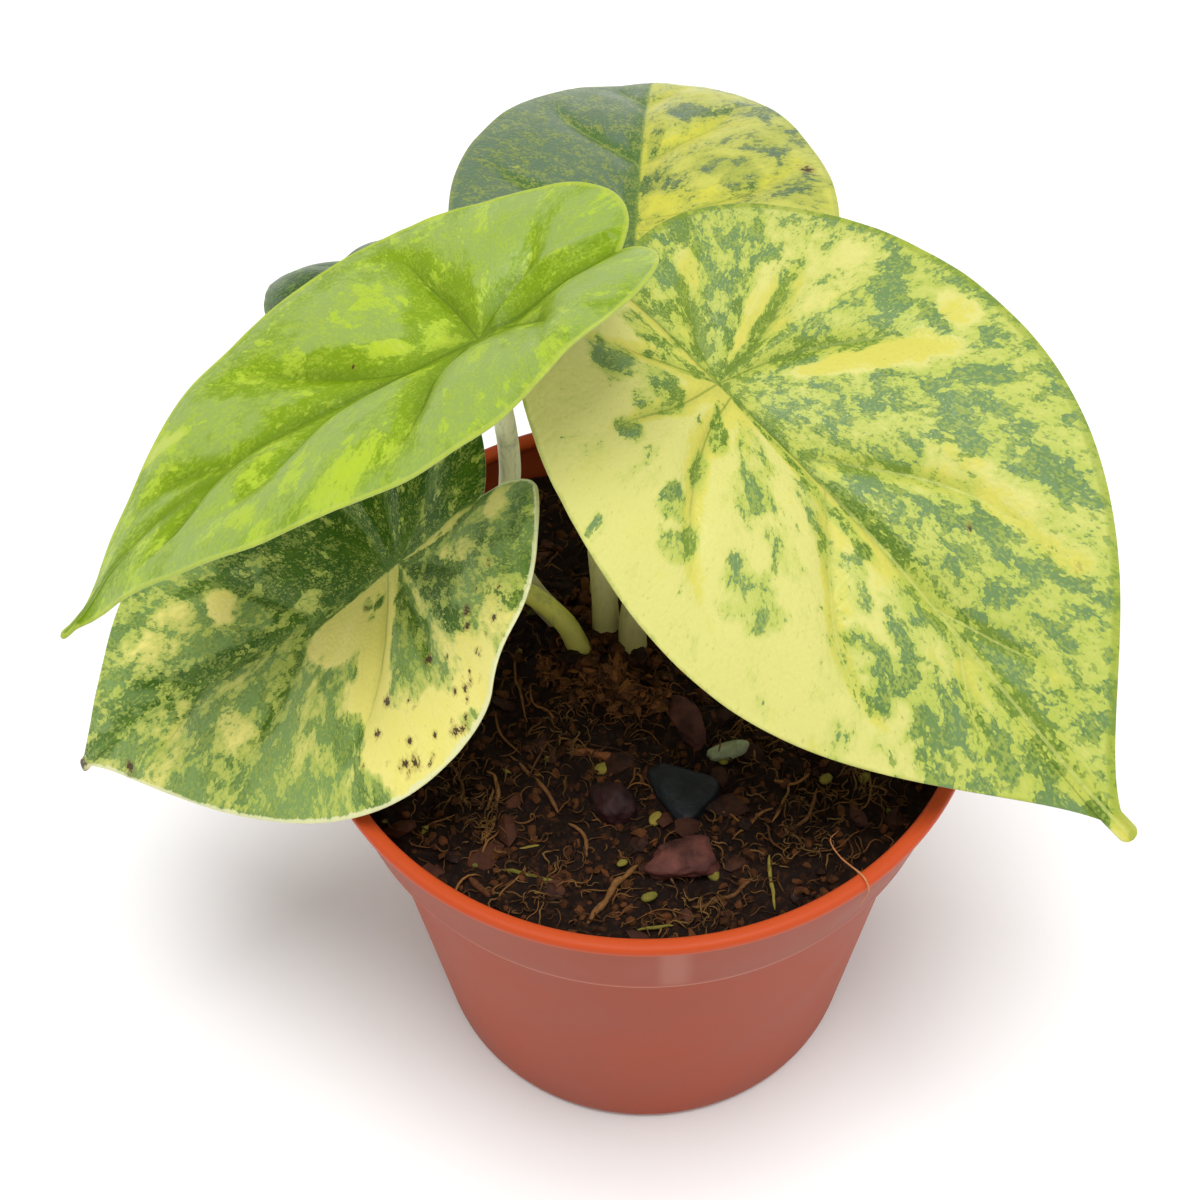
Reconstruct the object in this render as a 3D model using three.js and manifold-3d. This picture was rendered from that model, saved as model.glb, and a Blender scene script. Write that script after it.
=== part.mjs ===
// A young silver dragon alocasia with variegated leaves, in a 12 cm nursery pot.
// Millimetres, +Z up. The pot stands on z = 0 with its axis on the Z axis, and the
// side that shows the two large left leaves and the large right leaf faces -Y.
import * as THREE from 'three';
import { mergeVertices } from 'three/addons/utils/BufferGeometryUtils.js';
import Module from 'manifold-3d';

const wasm = await Module();
wasm.setup();

// Driving dimensions of the pot
const POT_HEIGHT = 96;
const RIM_RADIUS = 60;
const LIP_WIDTH = 2.8;
const LIP_HEIGHT = 2.2;
const COLLAR_HEIGHT = 21;
const COLLAR_FOOT_RADIUS = 55;
const BODY_TOP_RADIUS = 52;
const BASE_RADIUS = 42;
const WALL = 1.2;
const FLOOR = 1.6;
const BASE_ROUND = 2.5;
const POT_SIDES = 60;
const DRAIN_HOLES = 6;
const DRAIN_RADIUS = 4;
const DRAIN_CIRCLE = 27;

// Clearance between pieces that touch
const GAP = 0.3;

// Driving dimensions of the potting mix
const MIX_RIM_LEVEL = 86.5;
const MIX_MOUND = 2.2;
const MIX_LUMPS = 1.1;
const MIX_RINGS = 10;
const MIX_SIDES = 48;
const CHIP_COUNT = 26;
const CHIP_SEED = 7;

// The crown that the stalks grow from
const CROWN = { x: -6.4, y: 9.4, top: 89.8, radius: 12.2, depth: 18 };

// Blade thickness at the stalk and at the edge, and the ridge of the midrib below
const BLADE_MIDDLE = 1.0;
const BLADE_EDGE = 0.6;
const MIDRIB_DEPTH = 0.9;
const BLADE_RINGS = [0.12, 0.3, 0.48, 0.66, 0.82, 0.93, 1];
const SPOKES_PER_CURVE = [9, 8, 5];
const FLICK_START = 0.86;

// Each blade is drawn flat, from the point where the stalk meets it, and then bent.
// Lengths marked "share" are shares of the length from the stalk to the tip.
// heading, pitch, roll: where the tip points, how far it slopes down, its sideways lean
// width, widest, lobe, lobeSide: half width, where it is widest, how far the rear lobe
// runs back and how far aside it ends, as [right, left] seen from the stalk to the tip
// taper: how slender the drip tip is, as [right, left]
// sinus: how far behind the stalk the notch between the lobes is
// blunt: half width of the rounded end of the tip
// droop, tipDroop, lobeDroop, swing, twist: bends along the midrib, in degrees
// flick: how far the last seventh of the tip bends up again, in degrees
// fold, arch: the V fold at the midrib and the arch of each half, as [right, left]
const BLADES = {
  right: {
    foot: [12.1, 15.3, 150], heading: -38, pitch: 22.6, roll: -3.2, length: 102.5,
    width: [0.424, 0.458], widest: [0.155, 0.18], lobe: [0.286, 0.265],
    lobeSide: [0.156, 0.142], sinus: 0.215, taper: [0.05, 0.2], blunt: 0.017,
    droop: 22.6, tipDroop: -19, lobeDroop: 6.7, swing: 0, twist: 39, flick: 0,
    fold: [12, 9.5], arch: [8.4, 2.6], puff: 1.2, color: 0xd9dc7a,
  },
  left_upper: {
    foot: [-25.4, 5.2, 170], heading: 194.4, pitch: 20.7, roll: 14.5, length: 87,
    width: [0.36, 0.356], widest: [0.1, 0.117], lobe: [0.34, 0.38],
    lobeSide: [0.1, 0.17], sinus: 0.3, taper: [0.07, 0.31], blunt: 0.009,
    droop: 11, tipDroop: 38, lobeDroop: -54.7, swing: -4, twist: -9, flick: 38,
    fold: [16.8, 7.8], arch: [2, -3], puff: 1.7, color: 0x8fb83a,
  },
  left_lower: {
    foot: [-41.5, 0.1, 122.5], heading: 185.5, pitch: 42.6, roll: -12.8, length: 84.5,
    width: [0.463, 0.46], widest: [0.148, 0.09], lobe: [0.308, 0.436],
    lobeSide: [0.139, 0.116], sinus: 0.257, taper: [0.38, 0.26], blunt: 0.014,
    droop: -18.5, tipDroop: 37.5, lobeDroop: -36, swing: 5.5, twist: -19, flick: 0,
    fold: [18.6, 7.5], arch: [12.4, 14.3], puff: 1.2, color: 0x7f9a5a,
  },
  back: {
    foot: [-1.3, 60.4, 143], heading: 88, pitch: 3.4, roll: -3.6, length: 87,
    width: [0.419, 0.391], widest: [0.048, 0.096], lobe: [0.3, 0.3],
    lobeSide: [0.16, 0.16], sinus: 0.25, taper: [0.3, 0.3], blunt: 0.01,
    droop: 32, tipDroop: 10, lobeDroop: 60, swing: 0, twist: 0, flick: 0,
    fold: [7, 8.5], arch: [20, 2.4], puff: 1.0, color: 0xa7b45a,
  },
  rear_left: {
    foot: [-50.4, 60.5, 127.9], heading: 115, pitch: 8, roll: -7.5, length: 52,
    width: [0.32, 0.37], widest: [0.05, 0.05], lobe: [0.28, 0.28],
    lobeSide: [0.16, 0.16], sinus: 0.22, taper: [0.3, 0.3], blunt: 0.01,
    droop: 80, tipDroop: 20, lobeDroop: 20, swing: 0, twist: 0, flick: 0,
    fold: [42, 33], arch: [100, 58], puff: 0.6, color: 0x2f5a2c,
  },
};

// Side veins of a half blade: where each leaves the midrib, where it ends and how far
// it bows, as shares of the blade's length. The last two run back into the lobe.
const SIDE_VEINS = [
  { from: 0.56, to: [0.27, 0.72], bow: 0.03 },
  { from: 0.36, to: [0.36, 0.56], bow: 0.045 },
  { from: 0.18, to: [0.41, 0.36], bow: 0.06 },
  { from: 0.0, to: [0.42, 0.12], bow: 0.05 },
  { from: 0.0, to: [0.36, -0.13], bow: 0.02 },
  { from: 0.0, to: [0.2, -0.27], bow: 0.02 },
];
const VEIN_STEPS = 10;
const VEIN_GROOVE = 0.045;

// Stalks: where each stands on the crown (x, y), the points it bends through on its way
// to the blade, and its radius at the foot and at the blade
const STALKS = {
  right: {
    stand: [-2, 6.8], route: [[-1.8, 7.4, 100], [0.6, 8.4, 113], [5, 10.5, 131]], radii: [2.7, 2.0],
  },
  back: {
    stand: [-6.8, 10], route: [[-7, 10.8, 100], [-8, 16.8, 112], [-6.4, 36, 127]], radii: [2.6, 1.9],
  },
  left_lower: {
    stand: [-11, 5.2], route: [[-14.3, 6.8, 98], [-20.5, 7.8, 105], [-31, 5.6, 113]], radii: [2.2, 1.7],
  },
  left_upper: {
    stand: [-13.8, 11.6], route: [[-20, 13.6, 98.3], [-24, 15.4, 108.5], [-22.8, 14.4, 133]],
    radii: [2.3, 1.75],
  },
  rear_left: {
    stand: [-8, 16.6], route: [[-8.2, 20.6, 99], [-11.5, 29, 110.5], [-22, 44, 123]], radii: [2.0, 1.4],
  },
};
const STALK_SIDES = 12;
const STALK_STEPS = 15;
const SHEATH_SHARE = 0.3;
const NECK_LENGTH = 4;

// Loose pieces on the mix: place (x, y), height of the middle above the mix, half sizes
// and turn about Z
const LOOSE_CHIPS = {
  stone_chip: { at: [6.2, -23], lift: 0.9, half: [6.2, 4.2, 2.6], turn: -43, color: 0x2b3038 },
  bark_chip_1: { at: [6.9, -36.8], lift: 0.7, half: [6.2, 4.0, 2.2], turn: 8, color: 0x5e2f26 },
  bark_chip_2: { at: [-5.2, -25.4], lift: 0.6, half: [3.7, 4.2, 2.7], turn: 20, color: 0x4a2a20 },
  pale_chip: { at: [14.9, -14.5], lift: 0.8, half: [3.9, 1.5, 1.3], turn: 20, color: 0x8f9478 },
};

const rad = THREE.MathUtils.degToRad;
const group = new THREE.Group();

function addMesh(name, geometry, color, roughness) {
  const material = new THREE.MeshStandardMaterial({ color, roughness, metalness: 0, flatShading: true });
  const mesh = new THREE.Mesh(geometry, material);
  mesh.name = name;
  group.add(mesh);
}

function makeGeometry(points, triangles) {
  const geometry = new THREE.BufferGeometry();
  geometry.setAttribute('position', new THREE.Float32BufferAttribute(points.flat(), 3));
  geometry.setIndex(triangles.flat());
  geometry.computeVertexNormals();
  return geometry;
}

// Booleans

function toSolid(geometry) {
  const bare = geometry.clone();
  bare.deleteAttribute('normal');
  bare.deleteAttribute('uv');
  const merged = mergeVertices(bare, 1e-4);
  return new wasm.Manifold(new wasm.Mesh({
    numProp: 3,
    vertProperties: new Float32Array(merged.attributes.position.array),
    triVerts: new Uint32Array(merged.index.array),
  }));
}

function toGeometry(solid) {
  const mesh = solid.getMesh();
  const geometry = new THREE.BufferGeometry();
  geometry.setAttribute('position', new THREE.Float32BufferAttribute(mesh.vertProperties, 3));
  geometry.setIndex(Array.from(mesh.triVerts));
  geometry.computeVertexNormals();
  return geometry;
}

// The largest body of a cut solid: the cuts can leave a loose crumb
function largestBody(solid) {
  return solid.decompose().reduce((best, body) => (body.volume() > best.volume() ? body : best));
}

function latheAboutZ(profile, sides) {
  const geometry = new THREE.LatheGeometry(profile.map(([r, z]) => new THREE.Vector2(r, z)), sides);
  geometry.rotateX(Math.PI / 2);
  return geometry;
}

// Pot

const STEP_LEVEL = POT_HEIGHT - COLLAR_HEIGHT;
const COLLAR_TOP_RADIUS = RIM_RADIUS - 0.4;

function innerPotProfile() {
  // from the floor's middle up to the underside of the lip, on the inside face
  return [
    [0, FLOOR],
    [BASE_RADIUS - WALL - 1, FLOOR],
    [BASE_RADIUS - WALL + 0.3, FLOOR + 2],
    [BODY_TOP_RADIUS - WALL, STEP_LEVEL - 1.6],
    [COLLAR_FOOT_RADIUS - WALL, STEP_LEVEL + 1.2],
    [COLLAR_TOP_RADIUS - WALL, POT_HEIGHT - LIP_HEIGHT - 0.8],
  ];
}

function innerRadiusAt(level) {
  const profile = innerPotProfile();
  const above = profile.findIndex(([, z]) => z > level);
  const [[r0, z0], [r1, z1]] = [profile[above - 1], profile[above]];
  return r0 + ((r1 - r0) * (level - z0)) / (z1 - z0);
}

function makePot() {
  const outside = [
    [0, 0],
    [BASE_RADIUS - BASE_ROUND, 0],
    [BASE_RADIUS - 0.7, 0.7],
    [BASE_RADIUS, BASE_ROUND],
    [BODY_TOP_RADIUS - 0.3, STEP_LEVEL - 2.4],
    [BODY_TOP_RADIUS + 0.6, STEP_LEVEL - 1.4],
    [COLLAR_FOOT_RADIUS - 0.3, STEP_LEVEL],
    [COLLAR_FOOT_RADIUS + 0.1, STEP_LEVEL + 0.8],
    [COLLAR_TOP_RADIUS - 0.2, POT_HEIGHT - LIP_HEIGHT],
    [RIM_RADIUS, POT_HEIGHT - LIP_HEIGHT + 0.6],
    [RIM_RADIUS, POT_HEIGHT - 0.7],
    [RIM_RADIUS - 0.6, POT_HEIGHT],
    [RIM_RADIUS - LIP_WIDTH + 0.6, POT_HEIGHT],
    [RIM_RADIUS - LIP_WIDTH, POT_HEIGHT - 0.7],
    [RIM_RADIUS - LIP_WIDTH, POT_HEIGHT - LIP_HEIGHT + 0.2],
  ];
  const profile = outside.concat(innerPotProfile().reverse());
  let pot = toSolid(latheAboutZ(profile, POT_SIDES));
  for (let hole = 0; hole < DRAIN_HOLES; hole += 1) {
    const angle = (hole / DRAIN_HOLES) * 2 * Math.PI;
    const drill = new THREE.CylinderGeometry(DRAIN_RADIUS, DRAIN_RADIUS, 8, 12);
    drill.rotateX(Math.PI / 2);
    drill.translate(DRAIN_CIRCLE * Math.cos(angle), DRAIN_CIRCLE * Math.sin(angle), 0);
    pot = pot.subtract(toSolid(drill));
  }
  addMesh('pot', toGeometry(pot), 0xa55c48, 0.5);
}

// Potting mix

function seededRandom(seed) {
  let state = seed;
  return () => {
    state = (state * 16807) % 2147483647;
    return state / 2147483647;
  };
}

// Height of the mix: a low mound at the crown with smooth lumps on it
function mixLevel(x, y) {
  const fromCrown = Math.hypot(x - CROWN.x, y - CROWN.y);
  const mound = MIX_MOUND * Math.exp(-((fromCrown / 26) ** 2));
  const lumps = Math.sin(x * 0.31 + 1.3) * Math.cos(y * 0.27 - 0.4)
    + 0.6 * Math.sin(x * 0.53 - y * 0.47)
    + 0.5 * Math.cos(x * 0.83 + y * 0.71 + 2);
  return MIX_RIM_LEVEL + mound + MIX_LUMPS * 0.6 * lumps;
}

function makeMixBody() {
  const wall = innerPotProfile().slice(1, -1).map(([r, z]) => [r - GAP, z + GAP]);
  const topRadius = innerRadiusAt(MIX_RIM_LEVEL - 1.5 * MIX_LUMPS) - GAP;
  const points = [[0, 0, mixLevel(0, 0)]];
  const triangles = [];
  const rings = [];
  const addRing = (pointAt) => {
    const ring = [];
    for (let side = 0; side < MIX_SIDES; side += 1) {
      const angle = (side / MIX_SIDES) * 2 * Math.PI;
      ring.push(points.length);
      points.push(pointAt(Math.cos(angle), Math.sin(angle)));
    }
    rings.push(ring);
  };
  for (let ring = 1; ring <= MIX_RINGS; ring += 1) {
    const radius = topRadius * (ring / MIX_RINGS);
    addRing((c, s) => [radius * c, radius * s, mixLevel(radius * c, radius * s)]);
  }
  for (const [radius, level] of wall.reverse()) {
    addRing((c, s) => [radius * c, radius * s, level]);
  }
  const bottom = points.length;
  points.push([0, 0, FLOOR + GAP]);
  for (let side = 0; side < MIX_SIDES; side += 1) {
    const next = (side + 1) % MIX_SIDES;
    triangles.push([0, rings[0][side], rings[0][next]]);
    for (let ring = 0; ring + 1 < rings.length; ring += 1) {
      const inner = rings[ring];
      const outer = rings[ring + 1];
      triangles.push([inner[side], outer[side], outer[next]]);
      triangles.push([inner[side], outer[next], inner[next]]);
    }
    const last = rings[rings.length - 1];
    triangles.push([last[side], bottom, last[next]]);
  }
  return toSolid(makeGeometry(points, triangles));
}

// A small angular chip: an eight-cornered block with its corners pushed about
function chipGeometry(half, random) {
  const chip = new THREE.OctahedronGeometry(1, 0);
  chip.deleteAttribute('uv');
  chip.deleteAttribute('normal');
  const merged = mergeVertices(chip, 1e-4);
  const position = merged.attributes.position;
  for (let corner = 0; corner < position.count; corner += 1) {
    const push = 0.75 + 0.5 * random();
    position.setXYZ(
      corner,
      position.getX(corner) * half[0] * push,
      position.getY(corner) * half[1] * push,
      position.getZ(corner) * half[2] * push,
    );
  }
  return merged;
}

// A loose chip with a broad top: a seven-sided slab with a smaller upper face
function slabGeometry(half, grow) {
  const corners = 7;
  const points = [];
  for (const [share, level] of [[0.72, -1], [1, -0.2], [0.7, 1]]) {
    for (let corner = 0; corner < corners; corner += 1) {
      const angle = (corner / corners) * 2 * Math.PI + 0.35 * Math.sin(corner * 2.3);
      points.push([
        (half[0] + grow) * share * Math.cos(angle),
        (half[1] + grow) * share * Math.sin(angle),
        (half[2] + grow) * level,
      ]);
    }
  }
  const triangles = [];
  for (let corner = 0; corner < corners; corner += 1) {
    const next = (corner + 1) % corners;
    for (const base of [0, corners]) {
      triangles.push([base + corner, base + next, base + corners + next]);
      triangles.push([base + corner, base + corners + next, base + corners + corner]);
    }
    if (corner > 0 && next > 0) {
      triangles.push([0, next, corner]);
      triangles.push([2 * corners, 2 * corners + corner, 2 * corners + next]);
    }
  }
  return makeGeometry(points, triangles);
}

function placeSlab(chip, grow) {
  const slab = slabGeometry(chip.half, grow);
  slab.rotateZ(rad(chip.turn));
  slab.translate(...chip.at, mixLevel(...chip.at) + chip.lift);
  return slab;
}

function crownProfile(grow) {
  const { top, radius, depth } = CROWN;
  return [
    [0, top - depth - grow],
    [radius * 0.45 + grow, top - depth - grow],
    [radius * 0.9 + grow, top - depth * 0.62],
    [radius + grow, top - 4],
    [radius * 0.95 + grow, top - 1.2],
    [radius * 0.86 + grow, top + grow],
    [0, top + grow],
  ];
}

function crownGeometry(grow) {
  const geometry = latheAboutZ(crownProfile(grow), 20);
  geometry.translate(CROWN.x, CROWN.y, 0);
  return geometry;
}

function makePottingMix() {
  const random = seededRandom(CHIP_SEED);
  let mix = makeMixBody();
  for (let chip = 0; chip < CHIP_COUNT; chip += 1) {
    const size = 2.2 + 2.4 * random();
    const reach = 46 * Math.sqrt(random());
    const angle = 2 * Math.PI * random();
    const x = reach * Math.cos(angle);
    const y = reach * Math.sin(angle);
    const piece = chipGeometry([size * 1.5, size, size * 0.75], random);
    piece.rotateX(0.5 * (random() - 0.5));
    piece.rotateZ(2 * Math.PI * random());
    piece.translate(x, y, mixLevel(x, y) + size * 0.12);
    mix = mix.add(toSolid(piece));
  }
  const headroom = new THREE.CylinderGeometry(CROWN.radius * 0.95 + GAP, CROWN.radius * 0.95 + GAP, 12, 20);
  headroom.rotateX(Math.PI / 2);
  headroom.rotateZ(Math.PI / 2);
  headroom.translate(CROWN.x, CROWN.y, CROWN.top + 4.6);
  mix = mix.subtract(toSolid(crownGeometry(GAP)));
  mix = mix.subtract(toSolid(headroom));
  for (const chip of Object.values(LOOSE_CHIPS)) {
    mix = mix.subtract(toSolid(placeSlab(chip, GAP)));
  }
  addMesh('potting_mix', toGeometry(largestBody(mix)), 0x2c2018, 0.95);
}

// Blades

function cubic(a, b, c, d, t) {
  const s = 1 - t;
  return [0, 1].map((k) => s ** 3 * a[k] + 3 * s * s * t * b[k] + 3 * s * t * t * c[k] + t ** 3 * d[k]);
}

// Outline of one half, from the tip round to the notch between the lobes
function halfOutline(leaf, side) {
  const keys = ['width', 'widest', 'lobe', 'lobeSide', 'taper'];
  const [w, at, back, aside, taper] = keys.map((key) => leaf[key][side]);
  const { sinus, blunt } = leaf;
  const curves = [
    [[0, 1], [taper * w * 0.25, 0.84], [w, at + 0.42], [w, at]],
    [[w, at], [w, at - 0.55 * (at + back)], [aside + 0.62 * (w - aside), -back], [aside, -back]],
    [[aside, -back], [aside * 0.45, -back], [0.12 * aside, -sinus - 0.25 * (back - sinus)], [0, -sinus]],
  ];
  const sign = side === 0 ? 1 : -1;
  const outline = [[0, leaf.length]];
  curves.forEach((curve, index) => {
    for (let step = 1; step <= SPOKES_PER_CURVE[index]; step += 1) {
      const [x, y] = cubic(...curve, step / SPOKES_PER_CURVE[index]);
      const toEnd = THREE.MathUtils.clamp((y - 1 + blunt) / blunt, 0, 1);
      const round = y > 0 ? blunt * Math.sqrt(1 - toEnd ** 2) : 0;
      outline.push([sign * Math.max(x, round) * leaf.length, y * leaf.length]);
    }
  });
  return outline;
}

function fullOutline(leaf) {
  const right = halfOutline(leaf, 0);
  const left = halfOutline(leaf, 1).slice(1, -1).reverse();
  return right.concat(left);
}

// Distance from a point of the flat blade to the nearest vein, as a share of its length
function veinLines() {
  const lines = [[[0, -0.2], [0, 1]]];
  for (const vein of SIDE_VEINS) {
    const start = [0, vein.from];
    const middle = [vein.to[0] / 2, (vein.from + vein.to[1]) / 2 - vein.bow];
    const line = [];
    for (let step = 0; step <= VEIN_STEPS; step += 1) {
      const t = step / VEIN_STEPS;
      const s = 1 - t;
      line.push([0, 1].map((k) => s * s * start[k] + 2 * s * t * middle[k] + t * t * vein.to[k]));
    }
    lines.push(line);
  }
  return lines;
}
const VEIN_LINES = veinLines();

function veinDistance(leaf, x, y) {
  const px = Math.abs(x) / leaf.length;
  const py = y / leaf.length;
  let nearest = Infinity;
  for (const line of VEIN_LINES) {
    for (let k = 0; k + 1 < line.length; k += 1) {
      const [ax, ay] = line[k];
      const [bx, by] = [line[k + 1][0] - ax, line[k + 1][1] - ay];
      const along = THREE.MathUtils.clamp(((px - ax) * bx + (py - ay) * by) / (bx * bx + by * by), 0, 1);
      nearest = Math.min(nearest, Math.hypot(px - ax - along * bx, py - ay - along * by));
    }
  }
  return nearest;
}

// Running sums of a direction, so that a bent line keeps its length
function integrate(count, from, to, directionAt) {
  const step = (to - from) / (count - 1);
  const sums = [directionAt(from).multiplyScalar(0)];
  for (let k = 1; k < count; k += 1) {
    const middle = directionAt(from + (k - 0.5) * step).multiplyScalar(step);
    sums.push(sums[k - 1].clone().add(middle));
  }
  return (value) => {
    const place = THREE.MathUtils.clamp((value - from) / step, 0, count - 1.001);
    const below = Math.floor(place);
    return sums[below].clone().lerp(sums[below + 1], place - below);
  };
}

// Bends the flat blade: returns a function from flat (x, y) to the point in space
function bladeBender(leaf) {
  const heading = rad(leaf.heading);
  const pitch = rad(leaf.pitch);
  const forward = new THREE.Vector3(
    Math.cos(heading) * Math.cos(pitch), Math.sin(heading) * Math.cos(pitch), -Math.sin(pitch));
  const level = new THREE.Vector3(Math.sin(heading), -Math.cos(heading), 0);
  const upright = level.clone().cross(forward);
  const side = level.clone().applyAxisAngle(forward, rad(leaf.roll));
  const normal = upright.clone().applyAxisAngle(forward, rad(leaf.roll));
  const frameAt = (y) => {
    const u = y / leaf.length;
    const downturn = leaf.droop * u + leaf.tipDroop * u ** 4;
    const upturn = leaf.flick * THREE.MathUtils.smoothstep(u, FLICK_START, 1);
    const bend = rad(u > 0 ? downturn - upturn : leaf.lobeDroop * u);
    const swing = rad(leaf.swing) * u * u * Math.sign(u);
    const ahead = forward.clone().multiplyScalar(Math.cos(swing)).addScaledVector(side, Math.sin(swing));
    const along = ahead.clone().multiplyScalar(Math.cos(bend)).addScaledVector(normal, -Math.sin(bend));
    const over = normal.clone().multiplyScalar(Math.cos(bend)).addScaledVector(ahead, Math.sin(bend));
    const across = side.clone().multiplyScalar(Math.cos(swing)).addScaledVector(forward, -Math.sin(swing));
    const turn = rad(leaf.twist) * u;
    return {
      along,
      across: across.clone().multiplyScalar(Math.cos(turn)).addScaledVector(over, -Math.sin(turn)),
      over: over.clone().multiplyScalar(Math.cos(turn)).addScaledVector(across, Math.sin(turn)),
    };
  };
  const spine = integrate(160, -0.5 * leaf.length, 1.02 * leaf.length, (y) => frameAt(y).along);
  const origin = spine(0);
  const sections = [0, 1].map((half) => {
    const fold = rad(leaf.fold[half]);
    const arch = rad(leaf.arch[half]) / (leaf.width[half] * leaf.length);
    return integrate(60, 0, 0.75 * leaf.length, (q) => {
      const slope = fold * Math.tanh(q / (0.06 * leaf.length)) - arch * q;
      return new THREE.Vector2(Math.cos(slope), Math.sin(slope));
    });
  });
  const foot = new THREE.Vector3(...leaf.foot);
  return (x, y) => {
    const frame = frameAt(y);
    const section = sections[x >= 0 ? 0 : 1](Math.abs(x));
    return spine(y).sub(origin).add(foot)
      .addScaledVector(frame.across, x >= 0 ? section.x : -section.x)
      .addScaledVector(frame.over, section.y);
  };
}

function bladeNormal(bend, x, y) {
  const step = 0.2;
  const acrossX = bend(x + step, y).sub(bend(x - step, y));
  const alongY = bend(x, y + step).sub(bend(x, y - step));
  return acrossX.cross(alongY).normalize();
}

// Soft quilting between the veins, flat at the stalk and at the edge
function puffAt(leaf, x, y, reach) {
  const groove = Math.exp(-((veinDistance(leaf, x, y) / VEIN_GROOVE) ** 2));
  return leaf.puff * (1 - groove) * Math.sin(Math.PI * Math.min(1, reach * 1.05) ** 1.3);
}

function makeBlade(name, leaf) {
  const bend = bladeBender(leaf);
  const outline = fullOutline(leaf);
  const tipSpoke = 0;
  const notchSpoke = SPOKES_PER_CURVE.reduce((sum, count) => sum + count, 0);
  const top = [];
  const bottom = [];
  const addPair = (x, y, reach, ridge) => {
    const normal = bladeNormal(bend, x, y);
    const middle = bend(x, y).addScaledVector(normal, puffAt(leaf, x, y, reach));
    const thick = THREE.MathUtils.lerp(BLADE_MIDDLE, BLADE_EDGE, reach ** 2);
    top.push(middle.clone().addScaledVector(normal, thick / 2).toArray());
    bottom.push(middle.clone().addScaledVector(normal, -thick / 2 - ridge).toArray());
  };
  addPair(0, 0, 0, MIDRIB_DEPTH);
  for (const reach of BLADE_RINGS) {
    outline.forEach(([x, y], spoke) => {
      const onMidrib = spoke === tipSpoke || spoke === notchSpoke;
      const ridge = onMidrib ? MIDRIB_DEPTH * (1 - reach) : 0;
      addPair(x * reach, y * reach, reach, ridge);
    });
  }
  const spokes = outline.length;
  const shift = top.length;
  const triangles = [];
  for (let spoke = 0; spoke < spokes; spoke += 1) {
    const next = (spoke + 1) % spokes;
    const faces = [[0, 1 + next, 1 + spoke]];
    for (let ring = 0; ring + 1 < BLADE_RINGS.length; ring += 1) {
      const inner = 1 + ring * spokes;
      const outer = inner + spokes;
      faces.push([inner + spoke, outer + next, outer + spoke]);
      faces.push([inner + spoke, inner + next, outer + next]);
    }
    for (const [a, b, c] of faces) {
      triangles.push([a, b, c]);
      triangles.push([a + shift, c + shift, b + shift]);
    }
    const edge = 1 + (BLADE_RINGS.length - 1) * spokes;
    triangles.push([edge + spoke, edge + next, edge + next + shift]);
    triangles.push([edge + spoke, edge + next + shift, edge + spoke + shift]);
  }
  addMesh(`blade_${name}`, makeGeometry(top.concat(bottom), triangles), leaf.color, 0.42);
}

// Stalks

function makeStalk(name, stalk, leaf) {
  const bend = bladeBender(leaf);
  const bladeUp = bladeNormal(bend, 0, 0);
  const drop = BLADE_MIDDLE / 2 + MIDRIB_DEPTH + GAP;
  const end = bend(0, 0).addScaledVector(bladeUp, -drop);
  const stand = [...stalk.stand, CROWN.top + GAP];
  const route = [stand, ...stalk.route].map((point) => new THREE.Vector3(...point));
  const reach = end.clone().sub(route[route.length - 1]).normalize();
  const neck = end.clone().addScaledVector(bladeUp.clone().add(reach).normalize(), -NECK_LENGTH);
  const curve = new THREE.CatmullRomCurve3(route.concat([neck, end]), false, 'centripetal');
  const rings = [];
  const up = new THREE.Vector3(0, 0, 1);
  const aside = new THREE.Vector3(0, 1, 0);
  for (let step = 0; step <= STALK_STEPS; step += 1) {
    const t = step / STALK_STEPS;
    const centre = curve.getPointAt(t);
    const normal = curve.getTangentAt(t);
    if (step === 0) {
      normal.copy(up);
    }
    if (step === STALK_STEPS) {
      normal.copy(bladeUp);
    }
    const first = aside.clone().cross(normal).normalize();
    const second = normal.clone().cross(first).normalize();
    const sheath = Math.max(0, 1 - t / SHEATH_SHARE) ** 1.5;
    const radius = stalk.radii[1] + (stalk.radii[0] - stalk.radii[1]) * (0.5 * (1 - t) + 0.5 * sheath);
    rings.push(Array.from({ length: STALK_SIDES }, (_, corner) => {
      const angle = (corner / STALK_SIDES) * 2 * Math.PI;
      return centre.clone()
        .addScaledVector(first, radius * Math.cos(angle))
        .addScaledVector(second, radius * Math.sin(angle))
        .toArray();
    }));
  }
  const vertices = rings.flat();
  const triangles = [];
  const lastRing = STALK_STEPS * STALK_SIDES;
  for (let corner = 0; corner < STALK_SIDES; corner += 1) {
    const next = (corner + 1) % STALK_SIDES;
    for (let base = 0; base < lastRing; base += STALK_SIDES) {
      triangles.push([base + corner, base + next, base + STALK_SIDES + next]);
      triangles.push([base + corner, base + STALK_SIDES + next, base + STALK_SIDES + corner]);
    }
    if (corner > 0 && next > 0) {
      triangles.push([0, next, corner]);
      triangles.push([lastRing, lastRing + corner, lastRing + next]);
    }
  }
  addMesh(`petiole_${name}`, makeGeometry(vertices, triangles), 0xc9d79a, 0.5);
}

makePot();
makePottingMix();
addMesh('crown', toGeometry(toSolid(crownGeometry(0))), 0x6a5236, 0.8);
for (const [name, chip] of Object.entries(LOOSE_CHIPS)) {
  addMesh(name, placeSlab(chip, 0), chip.color, 0.8);
}
for (const [name, leaf] of Object.entries(BLADES)) {
  makeStalk(name, STALKS[name], leaf);
  makeBlade(name, leaf);
}

export default group;
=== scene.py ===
# Looks of a young silver dragon alocasia with variegated leaves in a 12 cm nursery pot.
# Lengths are in millimetres in the part's own frame, and add_piece makes them metres. Those of the
# floor and the lights are in metres.
from functools import partial
import math

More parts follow.
